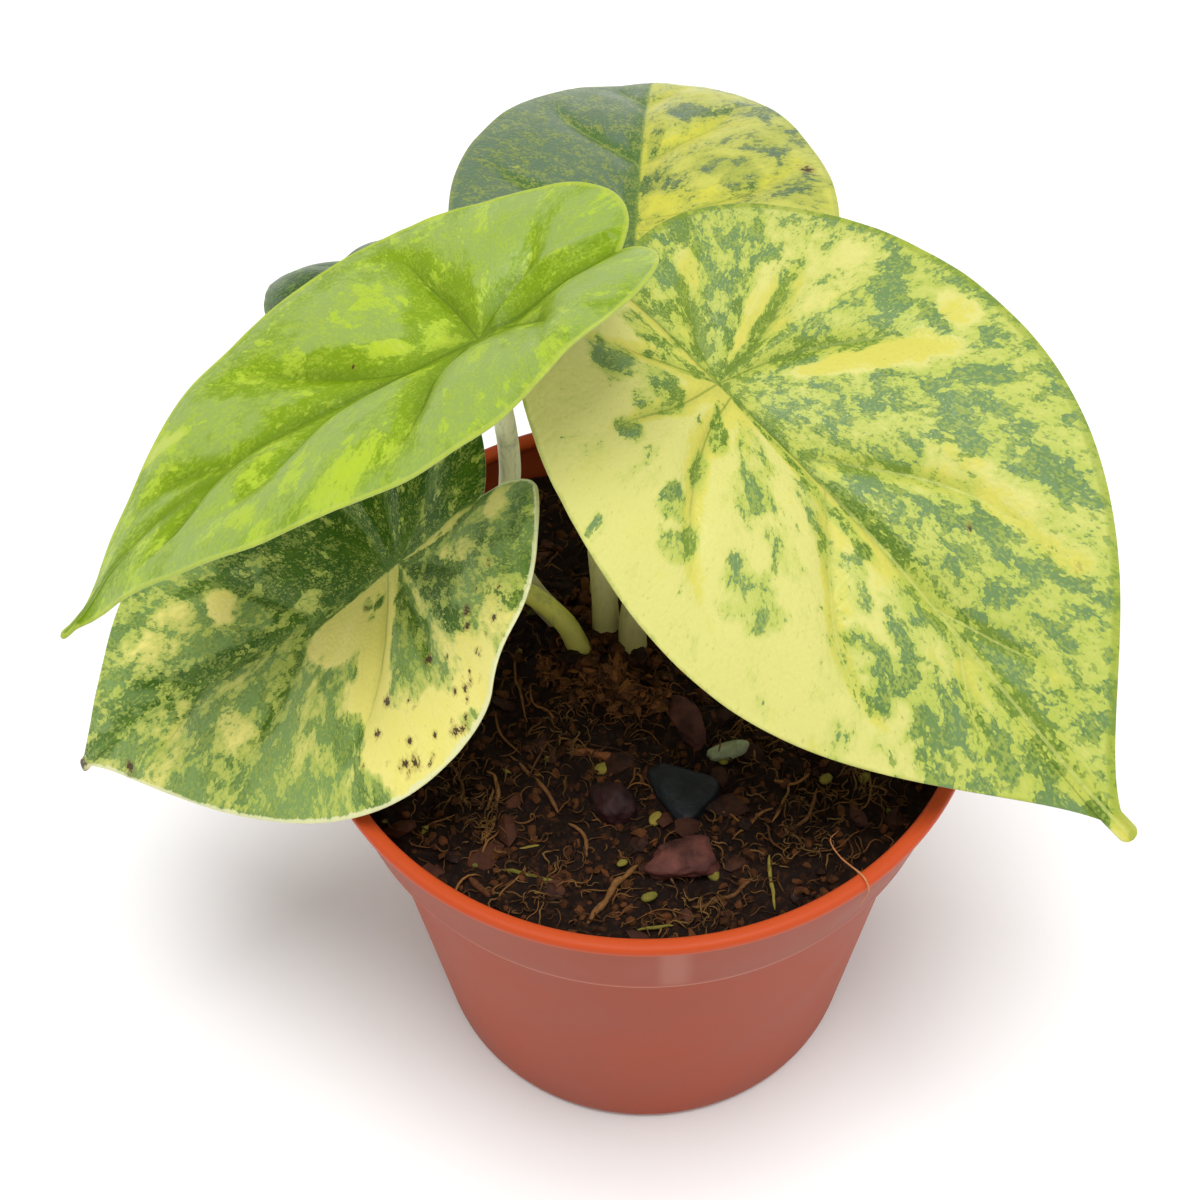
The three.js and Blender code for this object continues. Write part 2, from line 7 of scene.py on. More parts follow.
import bmesh
import bpy
import numpy as np
from mathutils import Matrix


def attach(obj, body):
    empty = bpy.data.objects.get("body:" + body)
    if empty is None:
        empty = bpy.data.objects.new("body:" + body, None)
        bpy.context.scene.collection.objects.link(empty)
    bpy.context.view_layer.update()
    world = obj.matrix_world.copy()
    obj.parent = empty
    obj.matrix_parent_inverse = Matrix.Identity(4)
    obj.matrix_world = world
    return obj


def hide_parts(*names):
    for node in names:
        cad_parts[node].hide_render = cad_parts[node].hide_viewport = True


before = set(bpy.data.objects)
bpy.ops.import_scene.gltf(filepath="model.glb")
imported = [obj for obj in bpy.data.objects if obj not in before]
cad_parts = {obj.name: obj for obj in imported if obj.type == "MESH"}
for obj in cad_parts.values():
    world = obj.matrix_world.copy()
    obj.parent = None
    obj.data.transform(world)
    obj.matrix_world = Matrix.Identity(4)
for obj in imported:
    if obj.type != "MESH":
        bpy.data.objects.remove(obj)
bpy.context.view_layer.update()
MM = 0.001


# Helpers: meshes

def add_piece(name, points, faces, material, replaces=(), uv=None, attributes=None, smooth=True):
    """A mesh piece from points in mm and face arrays, with its UV map and point attributes."""
    mesh = bpy.data.meshes.new(name)
    corners = [face for block in faces for face in np.asarray(block).tolist()]
    mesh.from_pydata((np.asarray(points, float).reshape(-1, 3) * MM).tolist(), [], corners)
    mesh.polygons.foreach_set("use_smooth", np.full(len(mesh.polygons), smooth))
    if uv is not None:
        loops = np.empty(len(mesh.loops), np.int32)
        mesh.loops.foreach_get("vertex_index", loops)
        layer = mesh.uv_layers.new(name="surface")
        layer.data.foreach_set("uv", np.asarray(uv, np.float32)[loops].ravel())
    for key, values in (attributes or {}).items():
        layer = mesh.attributes.new(key, "FLOAT", "POINT")
        layer.data.foreach_set("value", np.asarray(values, np.float32).ravel())
    mesh.update()
    piece = bpy.data.objects.new(name, mesh)
    bpy.context.scene.collection.objects.link(piece)
    mesh.materials.append(material)
    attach(piece, "root")
    if replaces:
        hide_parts(*replaces)
    return piece


def grid_faces(rows, columns, start=0, wrap=True):
    """Quads between neighbouring rows of a grid, whose columns close on themselves when wrap is set."""
    across = columns if wrap else columns - 1
    row, column = np.meshgrid(np.arange(rows - 1), np.arange(across), indexing="ij")
    after = (column + 1) % columns
    quads = np.stack([row * columns + column, row * columns + after,
                      (row + 1) * columns + after, (row + 1) * columns + column], -1)
    return quads.reshape(-1, 4) + start


def fan_faces(centre, first, columns, flip=False):
    """Triangles from one point to a closed row of points."""
    column = np.arange(columns)
    after = (column + 1) % columns
    order = [np.full(columns, centre), first + column, first + after]
    return np.stack(order[::-1] if flip else order, -1)


def closed_faces(rows, columns, start=0):
    """Faces of a closed surface whose points are a grid of rows and then its first and last pole."""
    poles = start + rows * columns
    return [grid_faces(rows, columns, start), fan_faces(poles, start, columns, flip=True),
            fan_faces(poles + 1, poles - columns, columns)]


def smoothstep(low, high, value):
    """0 below low, 1 above high, and a smooth S between them."""
    t = np.clip((value - low) / (high - low), 0, 1)
    return t * t * (3 - 2 * t)


def smooth_noise(points, size, seed):
    """Value noise from -1 to 1: seeded values on a cubic lattice, blended by a smooth S along each axis."""
    cell = np.asarray(points, float) / size
    base = np.floor(cell).astype(np.int64)
    part = cell - base
    part = part * part * (3 - 2 * part)
    total = np.zeros(cell.shape[:-1])
    for corner in np.ndindex(2, 2, 2):
        key = base + np.array(corner)
        mixed = key[..., 0] * 73856093 ^ key[..., 1] * 19349663 ^ key[..., 2] * 83492791 ^ seed * 668265263
        mixed = (mixed ^ (mixed >> 13)) * 1274126177
        value = ((mixed ^ (mixed >> 16)) & 0xFFFF) / 32767.5 - 1
        total += value * np.prod(np.where(corner, part, 1 - part), -1)
    return total


def normalized(vectors):
    """Each vector divided by its length."""
    return vectors / np.maximum(np.linalg.norm(vectors, axis=-1, keepdims=True), 1e-9)


def circle(count):
    """Angles of evenly spaced points round a circle."""
    return np.arange(count) / count * 2 * np.pi


def spin(degrees):
    """The matrix that turns rows of points about Z when they are multiplied by it."""
    c, s = math.cos(math.radians(degrees)), math.sin(math.radians(degrees))
    return np.array([[c, s, 0], [-s, c, 0], [0, 0, 1]])


def ball(rows, columns, squareness=1.0):
    """A superellipsoid of half size 1: sines and cosines of latitude and longitude, raised to the
    squareness, on a grid, and then the two poles."""
    v = np.linspace(-np.pi / 2, np.pi / 2, rows + 2)[1:-1, None]
    u = circle(columns)

    def power(value):
        return np.sign(value) * np.abs(value) ** squareness

    grid = np.stack([power(np.cos(v)) * power(np.cos(u)), power(np.cos(v)) * power(np.sin(u)),
                     power(np.sin(v)) + 0 * u], -1)
    return np.concatenate([grid.reshape(-1, 3), [[0, 0, -1], [0, 0, 1]]])


# Helpers: materials

def linear(text):
    """A linear RGBA colour from an sRGB hex value."""
    value = np.array([int(text[k:k + 2], 16) for k in (0, 2, 4)]) / 255
    value = np.where(value <= 0.04045, value / 12.92, ((value + 0.055) / 1.055) ** 2.4)
    return (*value.tolist(), 1.0)


# Short names for nodes that recur: the kind, its sockets in order, its output and its settings
KINDS = {
    "Step": ("MapRange", (0, 1, 2, 4), 0, {"interpolation_type": "SMOOTHSTEP"}),
    "Range": ("MapRange", (0, 1, 2, 3, 4), 0, {}),
    "Blend": ("Mix", (0, 6, 7), 2, {"data_type": "RGBA"}),
    "Times": ("Math", (0, 1), 0, {"operation": "MULTIPLY"}),
    "Plus": ("Math", (0, 1), 0, {"operation": "ADD"}),
    "TimesPlus": ("Math", (0, 1, 2), 0, {"operation": "MULTIPLY_ADD"}),
    "Size": ("Math", (0,), 0, {"operation": "ABSOLUTE"}),
    "Field": ("Attribute", (), 2, {}),
    "Place": ("TexCoord", (), 3, {}),
}


def put(tree, kind, *inputs, out=None, **settings):
    """Adds one shader node with its settings and returns an output. The inputs are values or links, in
    the order of the node's sockets or in one dict by socket."""
    kind, sockets, usual_out, usual_settings = KINDS.get(kind, (kind, range(len(inputs)), 0, {}))
    made = tree.nodes.new("ShaderNode" + kind)
    for key, value in {**usual_settings, **settings}.items():
        setattr(made, key, value)
    by_socket = inputs[0] if inputs and isinstance(inputs[0], dict) else dict(zip(sockets, inputs))
    for socket, value in by_socket.items():
        if isinstance(value, bpy.types.NodeSocket):
            tree.links.new(value, made.inputs[socket])
        else:
            made.inputs[socket].default_value = value
    return made.outputs[usual_out if out is None else out] if len(made.outputs) else made


def new_material(name):
    """An empty node material, and put for its own node tree."""
    material = bpy.data.materials.new(name)
    material.use_nodes = True
    material.node_tree.nodes.clear()
    return material, partial(put, material.node_tree)


# Camera, at the angle from which the plant is usually shown

CAMERA_AT = np.array([0.0, -251.6, 423.1])
CAMERA_YAW = math.radians(-1.72)
CAMERA_PITCH = math.radians(50.96)
CAMERA_ROLL = math.radians(-1.38)
LENS = 69.18


def make_camera():
    """A camera that looks down on the plant from the front."""
    look = np.array([math.sin(CAMERA_YAW) * math.cos(CAMERA_PITCH),
                     math.cos(CAMERA_YAW) * math.cos(CAMERA_PITCH), -math.sin(CAMERA_PITCH)])
    right = normalized(np.cross(look, [0, 0, 1]))
    up = np.cross(right, look)
    c, s = math.cos(CAMERA_ROLL), math.sin(CAMERA_ROLL)
    right, up = right * c + up * s, up * c - right * s
    data = bpy.data.cameras.new("camera")
    data.lens = LENS
    data.sensor_width = 36
    data.clip_start = 0.01
    camera = bpy.data.objects.new("camera", data)
    turn = np.column_stack([right, up, -look])
    matrix = np.eye(4)
    matrix[:3, :3] = turn
    matrix[:3, 3] = CAMERA_AT * MM
    camera.matrix_world = Matrix(matrix.tolist())
    bpy.context.scene.collection.objects.link(camera)
    bpy.context.scene.camera = camera


# Blades: the same flat outlines and bends as the solids

BLADES = {
    "right": dict(
        foot=(12.1, 15.3, 150), heading=-38, pitch=22.6, roll=-3.2, length=102.5,
        width=(0.424, 0.458), widest=(0.155, 0.18), lobe=(0.286, 0.265), aside=(0.156, 0.142),
        sinus=0.215, taper=(0.05, 0.2), blunt=0.017, droop=22.6, tip_droop=-19, lobe_droop=6.7,
        swing=0, twist=39, flick=0, fold=(12, 9.5), arch=(8.4, 2.6), relief=2.6, crease=2.6, rim_side=-1),
    "left_upper": dict(
        foot=(-25.4, 5.2, 170), heading=194.4, pitch=20.7, roll=14.5, length=87,
        width=(0.36, 0.356), widest=(0.1, 0.117), lobe=(0.34, 0.38), aside=(0.1, 0.17),
        sinus=0.3, taper=(0.07, 0.31), blunt=0.009, droop=11, tip_droop=38, lobe_droop=-54.7,
        swing=-4, twist=-9, flick=38, fold=(16.8, 7.8), arch=(2, -3), relief=3.6, crease=4.4, rim_side=0),
    "left_lower": dict(
        foot=(-41.5, 0.1, 122.5), heading=185.5, pitch=42.6, roll=-12.8, length=84.5,
        width=(0.463, 0.46), widest=(0.148, 0.09), lobe=(0.308, 0.436), aside=(0.139, 0.116),
        sinus=0.257, taper=(0.38, 0.26), blunt=0.014, droop=-18.5, tip_droop=37.5, lobe_droop=-36,
        swing=5.5, twist=-19, flick=0, fold=(18.6, 7.5), arch=(12.4, 14.3), relief=2.4, crease=2.8,
        rim_side=-1),
    "back": dict(
        foot=(-1.3, 60.4, 143), heading=88, pitch=3.4, roll=-3.6, length=87,
        width=(0.419, 0.391), widest=(0.048, 0.096), lobe=(0.3, 0.3), aside=(0.16, 0.16),
        sinus=0.25, taper=(0.3, 0.3), blunt=0.01, droop=32, tip_droop=10, lobe_droop=60,
        swing=0, twist=0, flick=0, fold=(7, 8.5), arch=(20, 2.4), relief=2.0, crease=4.0, rim_side=0),
    "rear_left": dict(
        foot=(-50.4, 60.5, 127.9), heading=115, pitch=8, roll=-7.5, length=52,
        width=(0.32, 0.37), widest=(0.05, 0.05), lobe=(0.28, 0.28), aside=(0.16, 0.16),
        sinus=0.22, taper=(0.3, 0.3), blunt=0.01, droop=80, tip_droop=20, lobe_droop=20,
        swing=0, twist=0, flick=0, fold=(42, 33), arch=(100, 58), relief=0.9, crease=2.5, rim_side=0),
}
FLICK_START = 0.86
# Local lifts of a blade: x, y and reach in shares of the length, and height in mm
WAVES = {
    "left_upper": [(-0.3, -0.2, 0.13, 2.5), (-0.33, 0.16, 0.1, -1.5), (0.2, 0.55, 0.1, 1.2)],
    "left_lower": [(-0.4, -0.28, 0.09, 2.5)],
}
# A sharp raised fold on one blade, from the stalk back to the notch
RIDGES = {"left_upper": [(0, -0.02), (0.035, -0.07), (0.055, -0.13), (0.055, -0.22), (0.045, -0.3)]}
BLADE_MIDDLE = 1.0
BLADE_EDGE = 0.6
MIDRIB_DEPTH = 0.9
# How much further in, in mm, the pale margin seems to lie on the half that shows less of it
RIM_OFF = 1.3
RINGS = 84
SPOKES_PER_CURVE = (90, 54, 34)
# Points along a side vein, and how many of its steps it runs on straight at both ends
VEIN_POINTS = 24
VEIN_RUN_ON = 30
# Blades shorter than this get half the rings
SMALL_BLADE = 60

# Side veins of each half, as the points they pass through from the midrib outwards, in shares
# of the blade's length: from the tip down to the lobe
PLAIN_VEINS = [
    [(0, 0.56), (0.05, 0.64), (0.085, 0.73), (0.08, 0.84)],
    [(0, 0.24), (0.09, 0.325), (0.17, 0.42), (0.2, 0.53), (0.185, 0.64), (0.13, 0.76)],
    [(0, 0.03), (0.1, 0.05), (0.21, 0.1), (0.3, 0.18), (0.345, 0.29), (0.35, 0.42)],
    [(0, 0), (0.1, -0.015), (0.2, -0.045), (0.29, -0.06), (0.36, -0.04)],
    [(0, 0), (0.035, -0.06), (0.09, -0.13), (0.16, -0.19), (0.24, -0.2)],
]
VEINS = {
    "right": (PLAIN_VEINS, [
        [(0, 0.5), (0.04, 0.6), (0.075, 0.7), (0.07, 0.83)],
        [(0, 0.17), (0.07, 0.255), (0.145, 0.36), (0.19, 0.47), (0.19, 0.6), (0.13, 0.77)],
        [(0, 0.0), (0.1, 0.035), (0.2, 0.09), (0.3, 0.17), (0.365, 0.28), (0.38, 0.4)],
        [(0, 0), (0.1, -0.005), (0.2, -0.02), (0.3, -0.05), (0.38, -0.06)],
        [(0, 0), (0.03, -0.07), (0.08, -0.13), (0.15, -0.18), (0.22, -0.19)],
    ]),
    "left_upper": ([
        [(0, 0.5), (0.05, 0.6), (0.07, 0.7), (0.06, 0.84)],
        [(0, 0.14), (0.05, 0.24), (0.11, 0.33), (0.17, 0.42), (0.2, 0.52), (0.16, 0.66)],
        [(0, 0.0), (0.09, 0.025), (0.18, 0.06), (0.27, 0.1), (0.31, 0.2), (0.3, 0.34)],
        [(0, 0), (0.05, -0.05), (0.1, -0.13), (0.17, -0.175), (0.27, -0.18)],
    ], [
        [(0, 0.55), (0.05, 0.63), (0.08, 0.72), (0.07, 0.84)],
        [(0, 0.17), (0.03, 0.29), (0.09, 0.385), (0.13, 0.47), (0.14, 0.6), (0.1, 0.76)],
        [(0, 0.02), (0.08, 0.085), (0.18, 0.12), (0.26, 0.17), (0.29, 0.28), (0.26, 0.42)],
        [(0, 0), (0.015, -0.07), (0.08, -0.13), (0.18, -0.15), (0.29, -0.15)],
    ]),
}

# Colour of each blade as patches that fan out from the stalk, each laid over the ones before it:
# middle (x, y), half width across and half length along the ray, in shares of the length, then
# how green it is (-1 yellow, 1 green), how dark the green is and how silvery it is (0 to 1)
PATCHES = {
    "right": [
        (0.3, 0.15, 0.9, 0.6, -1.15, 0.2, 0.8), (-0.25, 0.3, 0.36, 0.8, 0.15, 0.35, 0.9),
        (0.075, 0.36, 0.05, 0.17, -0.05, 0.45, 0.6), (0.05, 0.62, 0.14, 0.3, 0.1, 0.45, 0.7),
        (0, 0.82, 0.12, 0.14, 0.25, 0.45, 0.6), (0.045, 0.35, 0.035, 0.09, -1.1, 0.2, 0.4),
        (0.1, 0.42, 0.04, 0.05, -0.9, 0.2, 0.5), (0.085, 0.355, 0.03, 0.03, 0.15, 0.5, 0.5),
        (0.03, 0.47, 0.03, 0.05, 0.55, 0.5, 0.8), (0.15, 0.52, 0.045, 0.05, 0.5, 0.6, 0.8),
        (0.15, 0.44, 0.03, 0.03, 0.3, 0.6, 0.7), (0.1, 0.6, 0.05, 0.05, 0.2, 0.5, 0.7),
        (0.06, 0.56, 0.03, 0.06, -0.5, 0.2, 0.5), (0.08, 0.055, 0.016, 0.06, 0.6, 0.8, 0.1),
        (0.17, 0.075, 0.02, 0.05, 0.3, 0.6, 0.5), (0.25, 0.09, 0.03, 0.035, 0.35, 0.6, 0.8),
        (0.27, 0.145, 0.02, 0.03, 0.1, 0.5, 0.4), (0.12, 0.15, 0.04, 0.07, 0.05, 0.4, 0.5),
        (0.06, 0.12, 0.025, 0.06, -0.15, 0.3, 0.3), (0.25, 0.27, 0.06, 0.06, -0.3, 0.2, 1),
        (0.14, -0.045, 0.028, 0.06, -0.1, 0.5, 0.9), (0.15, -0.14, 0.045, 0.05, 0.5, 0.8, 0.4),
        (0.03, -0.06, 0.016, 0.05, 0.15, 0.7, 0.2), (0.04, -0.14, 0.02, 0.05, 0.2, 0.7, 0.2),
        (0.27, 0.02, 0.03, 0.06, -0.55, 0.2, 0.8), (-0.06, -0.012, 0.02, 0.05, 0.6, 0.9, 0.1),
        (-0.09, -0.075, 0.022, 0.05, 0.45, 0.8, 0.3), (-0.03, -0.11, 0.02, 0.07, 0.1, 0.7, 0.2),
        (-0.19, -0.14, 0.045, 0.08, 0.25, 0.4, 0.9), (-0.3, -0.08, 0.05, 0.1, -0.2, 0.2, 0.9),
        (-0.26, 0.01, 0.04, 0.16, -0.55, 0.2, 0.8), (-0.15, -0.045, 0.018, 0.1, -1.1, 0, 0.2),
        (-0.13, -0.17, 0.02, 0.06, -0.6, 0.2, 0.4), (-0.25, 0.085, 0.03, 0.18, 0.3, 0.4, 0.9),
        (-0.38, 0.11, 0.05, 0.08, 0.35, 0.35, 0.9), (-0.008, 0.24, 0.011, 0.22, 0.5, 0.85, 0.15),
        (0.018, 0.2, 0.01, 0.2, 0.2, 0.7, 0.2), (-0.22, 0.157, 0.026, 0.13, -1.5, 0, 0),
        (-0.4, 0.195, 0.035, 0.035, -1.5, 0, 0), (-0.24, 0.235, 0.035, 0.16, 0.4, 0.4, 1),
        (-0.2, 0.36, 0.045, 0.06, -0.7, 0.1, 0.4), (-0.25, 0.37, 0.03, 0.05, 0.65, 0.45, 1),
        (-0.29, 0.46, 0.035, 0.04, 0.6, 0.5, 1), (-0.21, 0.46, 0.028, 0.06, -0.8, 0.1, 0.3),
        (-0.22, 0.57, 0.028, 0.06, -0.6, 0.1, 0.4), (-0.13, 0.57, 0.05, 0.09, 0.35, 0.45, 0.9),
        (-0.05, 0.63, 0.035, 0.06, 0.4, 0.5, 0.9), (-0.3, 0.58, 0.028, 0.06, -0.35, 0.2, 0.5),
        (0.012, 0.93, 0.02, 0.025, 0.9, 0.8, 0), (0, 1, 0.04, 0.04, -0.9, 0.1, 1),
        (0.3, 0.14, 0.03, 0.03, 0.2, 0.5, 0.7), (0.16, 0.26, 0.045, 0.05, -0.15, 0.3, 0.9),
        (0.1, -0.055, 0.05, 0.03, 0.35, 0.6, 0.5), (0.22, -0.035, 0.03, 0.03, 0.2, 0.5, 0.7),
        (0.25, 0.28, 0.05, 0.05, 0.1, 0, 1.2), (0.1, 0.36, 0.03, 0.08, -0.2, 0.3, 0.5),
        (0.2, 0.45, 0.04, 0.07, -0.6, 0.2, 0.5), (0.27, 0.55, 0.05, 0.06, -0.55, 0.2, 0.5),
    ],
    "left_upper": [
        (0, 0.2, 3, 1.5, 1, 0.1, 0.4), (-0.11, 0.27, 0.085, 0.13, 1.1, 0.1, 1.3),
        (-0.17, 0, 0.09, 0.13, 1.1, 0.15, 1.15), (0.16, 0.2, 0.07, 0.13, 1, 0, 1.2),
        (0.05, 0.52, 0.045, 0.13, 1.1, 0.2, 1.1), (0.14, 0.56, 0.035, 0.12, 1.1, 0.2, 1),
        (0.2, -0.1, 0.07, 0.11, 1.1, 0.1, 1.2), (-0.13, -0.25, 0.06, 0.1, 1.1, 0.15, 0.9),
        (0.12, -0.25, 0.05, 0.08, 1.2, 0.15, 1), (-0.13, 0.57, 0.05, 0.12, 0.8, 0.1, 0.8),
        (-0.27, 0.27, 0.05, 0.12, 0.3, 0, 0.3), (-0.22, 0.42, 0.05, 0.08, 0.35, 0, 0.6),
        (-0.1, 0.45, 0.03, 0.05, 0.1, 0, 0.1), (0.062, 0.155, 0.018, 0.045, -0.7, 0, 0.2),
        (0.03, 0.05, 0.02, 0.04, 0, 0, 0.1), (0.155, 0.63, 0.018, 0.07, -0.7, 0, 0.7),
        (0.17, 0.43, 0.03, 0.05, 0.1, 0, 0.2), (-0.03, -0.12, 0.03, 0.1, 0.6, 0.1, 0.1),
        (0, 0.93, 0.2, 0.12, 0.5, 0.2, 0.8),
    ],
    "left_lower": [
        (0.25, 0.1, 1.2, 0.7, 1.1, 0.9, -0.3), (-0.04, 0.62, 0.5, 0.34, 0.4, 0.55, 1),
        (0.125, 0.44, 0.05, 0.035, -1.4, 0.3, 0.5), (0.13, 0.57, 0.07, 0.07, -0.15, 0.3, 0.8),
        (0.14, 0.68, 0.045, 0.07, -0.5, 0.3, 0.8), (0.035, 0.6, 0.025, 0.25, 0.9, 0.9, 0.4),
        (0.03, 0.24, 0.05, 0.05, 0.3, 0.7, 0.1), (0.2, 0.72, 0.05, 0.08, 0.5, 0.6, 0.9),
        (-0.13, 0.5, 0.06, 0.045, -0.5, 0.2, 0.8), (-0.05, 0.66, 0.035, 0.05, -0.3, 0.3, 0.8),
        (-0.13, 0.74, 0.03, 0.08, -0.4, 0.2, 0.7), (-0.25, 0.42, 0.07, 0.09, 0.6, 0.3, 1.1),
        (-0.36, 0.33, 0.07, 0.1, 0.45, 0, 1.3), (0, 0.94, 0.1, 0.08, 0.2, 0.3, 0.4),
        (-0.18, 0.08, 0.06, 0.22, -1.7, 0, 0.2), (-0.22, 0.27, 0.07, 0.09, 0.05, 0.3, 0.8),
        (-0.07, 0.13, 0.055, 0.13, -1.5, 0, 0.2), (-0.4, 0.02, 0.14, 0.12, -1.6, 0, 0.3),
        (-0.36, -0.17, 0.08, 0.11, -1.4, 0.1, 0.3), (-0.3, 0.22, 0.04, 0.05, 0.6, 0.5, 1),
        (-0.14, 0.235, 0.018, 0.015, 0.6, 0.6, 0.4), (-0.055, 0.09, 0.02, 0.015, 0.1, 0.5, 0.3),
        (-0.012, 0.17, 0.012, 0.1, 0.7, 0.8, 0.1), (-0.22, 0.015, 0.05, 0.09, 0.35, 0.5, 0.9),
        (-0.27, -0.07, 0.03, 0.07, 0.1, 0.3, 1), (-0.15, -0.065, 0.02, 0.15, -0.3, 0.1, 1.1),
        (-0.13, -0.135, 0.06, 0.15, 0.8, 0.9, -0.2), (-0.2, -0.22, 0.05, 0.08, 0.3, 0.4, 0.9),
        (-0.09, -0.19, 0.018, 0.07, -0.2, 0.4, 0.5), (-0.13, -0.26, 0.05, 0.06, 0.1, 0.5, 0.3),
        (-0.11, -0.2, 0.016, 0.08, -0.4, 0.4, 0.2), (-0.3, -0.29, 0.05, 0.08, -0.6, 0.3, 0.3),
        (-0.015, -0.13, 0.012, 0.1, -0.9, 0.4, 0.2), (-0.07, -0.33, 0.04, 0.04, -0.8, 0.2, 0.1),
        (-0.13, -0.39, 0.05, 0.03, 1, 0.9, 0.2), (0.12, -0.2, 0.25, 0.12, 1, 1, -0.3),
        (0.08, -0.14, 0.012, 0.1, 0.5, 0.4, 0.3),
    ],
    "back": [
        (-0.3, 0.2, 3, 1.3, 1.8, 0.4, 1.1), (0.32, 0.18, 0.8, 0.9, -0.5, 0.2, 0.7),
        (0.2, 0.18, 0.085, 0.05, 0.6, 0.4, 1), (0.045, 0.16, 0.03, 0.045, 0.6, 0.6, 0.3),
        (0.09, 0.475, 0.05, 0.06, 0.45, 0.4, 0.7), (0.33, 0.14, 0.06, 0.06, 0.2, 0.4, 0.9),
        (0.25, 0.5, 0.06, 0.07, 0.2, 0.4, 0.8), (0.15, 0.6, 0.04, 0.1, -0.3, 0.3, 0.9),
        (0.14, -0.12, 0.1, 0.12, -0.3, 0.4, 0.7), (-0.16, 0.2, 0.03, 0.04, 1.1, -0.8, 1.2),
        (-0.13, 0.5, 0.03, 0.05, 1.1, -0.8, 1.2), (0.06, 0.9, 0.06, 0.12, -0.3, 0.2, 0.9),
        (0.3, 0.34, 0.06, 0.12, -0.1, 0.3, 0.8), (0.03, 0.33, 0.015, 0.08, 0.2, 0.6, 0.2),
    ],
    "rear_left": [
        (0, 0.2, 3, 1.4, 1.5, 0.7, -0.3), (0.1, 0.5, 0.05, 0.06, 0.7, 0.4, 0.9),
    ],
}
# Small brown or dark specks: x, y and radius in shares of the length
SPECKS = {
    "left_lower": [
        (-0.41, 0.1, 0.01), (-0.325, 0.135, 0.009), (-0.28, 0.085, 0.011), (-0.38, 0.06, 0.008),
        (-0.42, -0.055, 0.01), (-0.425, -0.08, 0.009), (-0.37, -0.13, 0.008), (-0.24, -0.2, 0.01),
        (-0.3, -0.27, 0.008), (-0.4, -0.005, 0.006), (-0.06, 0.095, 0.005), (-0.43, 0.02, 0.006),
        (-0.35, -0.16, 0.005), (-0.29, -0.11, 0.005), (-0.31, 0.03, 0.004), (-0.36, 0.2, 0.005),
        (-0.26, -0.05, 0.01), (-0.36, -0.1, 0.007), (-0.33, -0.2, 0.006), (-0.39, 0.13, 0.005),
        (0.01, 1, 0.03), (-0.08, 0.82, 0.014), (-0.42, 0.07, 0.012), (-0.43, 0.095, 0.007),
        (-0.4, 0.045, 0.004), (-0.44, 0.04, 0.004), (-0.41, -0.1, 0.004), (-0.39, -0.12, 0.005),
        (-0.37, -0.15, 0.007), (-0.35, -0.13, 0.004), (-0.38, -0.18, 0.005), (-0.34, -0.21, 0.006),
        (-0.32, -0.24, 0.004), (-0.27, -0.19, 0.008), (-0.4, -0.06, 0.004), (-0.19, -0.29, 0.006),
        (-0.22, -0.24, 0.004), (-0.25, -0.3, 0.005), (-0.3, -0.14, 0.003), (-0.33, 0.02, 0.003),
    ],
    "left_upper": [
        (-0.13, 0.35, 0.004), (0.07, 0.235, 0.004), (0.005, 0.195, 0.004), (-0.05, 0.055, 0.004),
    ],
    "back": [
        (0.355, 0.215, 0.015),
    ],
    "right": [
        (-0.13, 0.445, 0.006), (-0.22, 0.61, 0.006),
    ],
}


def half_outline(leaf, side):
    """Outline of one half from the tip round to the notch: three cubic curves, through the widest
    point and the end of the lobe, joined with a half circle at the tip, in shares of the length."""
    w, at, back, aside, taper = (leaf[key][side] for key in ("width", "widest", "lobe", "aside", "taper"))
    sinus = leaf["sinus"]
    curves = [
        [(0, 1), (taper * w * 0.25, 0.84), (w, at + 0.42), (w, at)],
        [(w, at), (w, at - 0.55 * (at + back)), (aside + 0.62 * (w - aside), -back), (aside, -back)],
        [(aside, -back), (aside * 0.45, -back), (0.12 * aside, -sinus - 0.25 * (back - sinus)), (0, -sinus)],
    ]
    points = [np.array([[0.0, 1.0]])]
    for curve, count, crowd in zip(curves, SPOKES_PER_CURVE, (1.25, 1, 1)):
        t = np.linspace(0, 1, count + 1)[1:, None] ** crowd
        a, b, c, d = np.array(curve, float)
        points.append((1 - t) ** 3 * a + 3 * (1 - t) ** 2 * t * b + 3 * (1 - t) * t ** 2 * c + t ** 3 * d)
    outline = np.concatenate(points)
    to_end = np.clip((outline[:, 1] - 1 + leaf["blunt"]) / leaf["blunt"], 0, 1)
    round_end = np.where(outline[:, 1] > 0, leaf["blunt"] * np.sqrt(1 - to_end ** 2), 0)
    outline[:, 0] = np.maximum(outline[:, 0], round_end)
    return outline * [1 if side == 0 else -1, 1]


def through_points(points, count):
    """A smooth line through points: a uniform Catmull-Rom curve, sampled evenly in each span."""
    p = np.asarray(points, float)
    p = np.concatenate([[2 * p[0] - p[1]], p, [2 * p[-1] - p[-2]]])
    place = np.linspace(0, len(p) - 3, count)
    k = np.minimum(place.astype(int), len(p) - 4)
    t = (place - k)[:, None]
    a, b, c, d = p[k], p[k + 1], p[k + 2], p[k + 3]
    return 0.5 * (2 * b + (c - a) * t + (2 * a - 5 * b + 4 * c - d) * t ** 2
                  + (3 * b - a - 3 * c + d) * t ** 3)


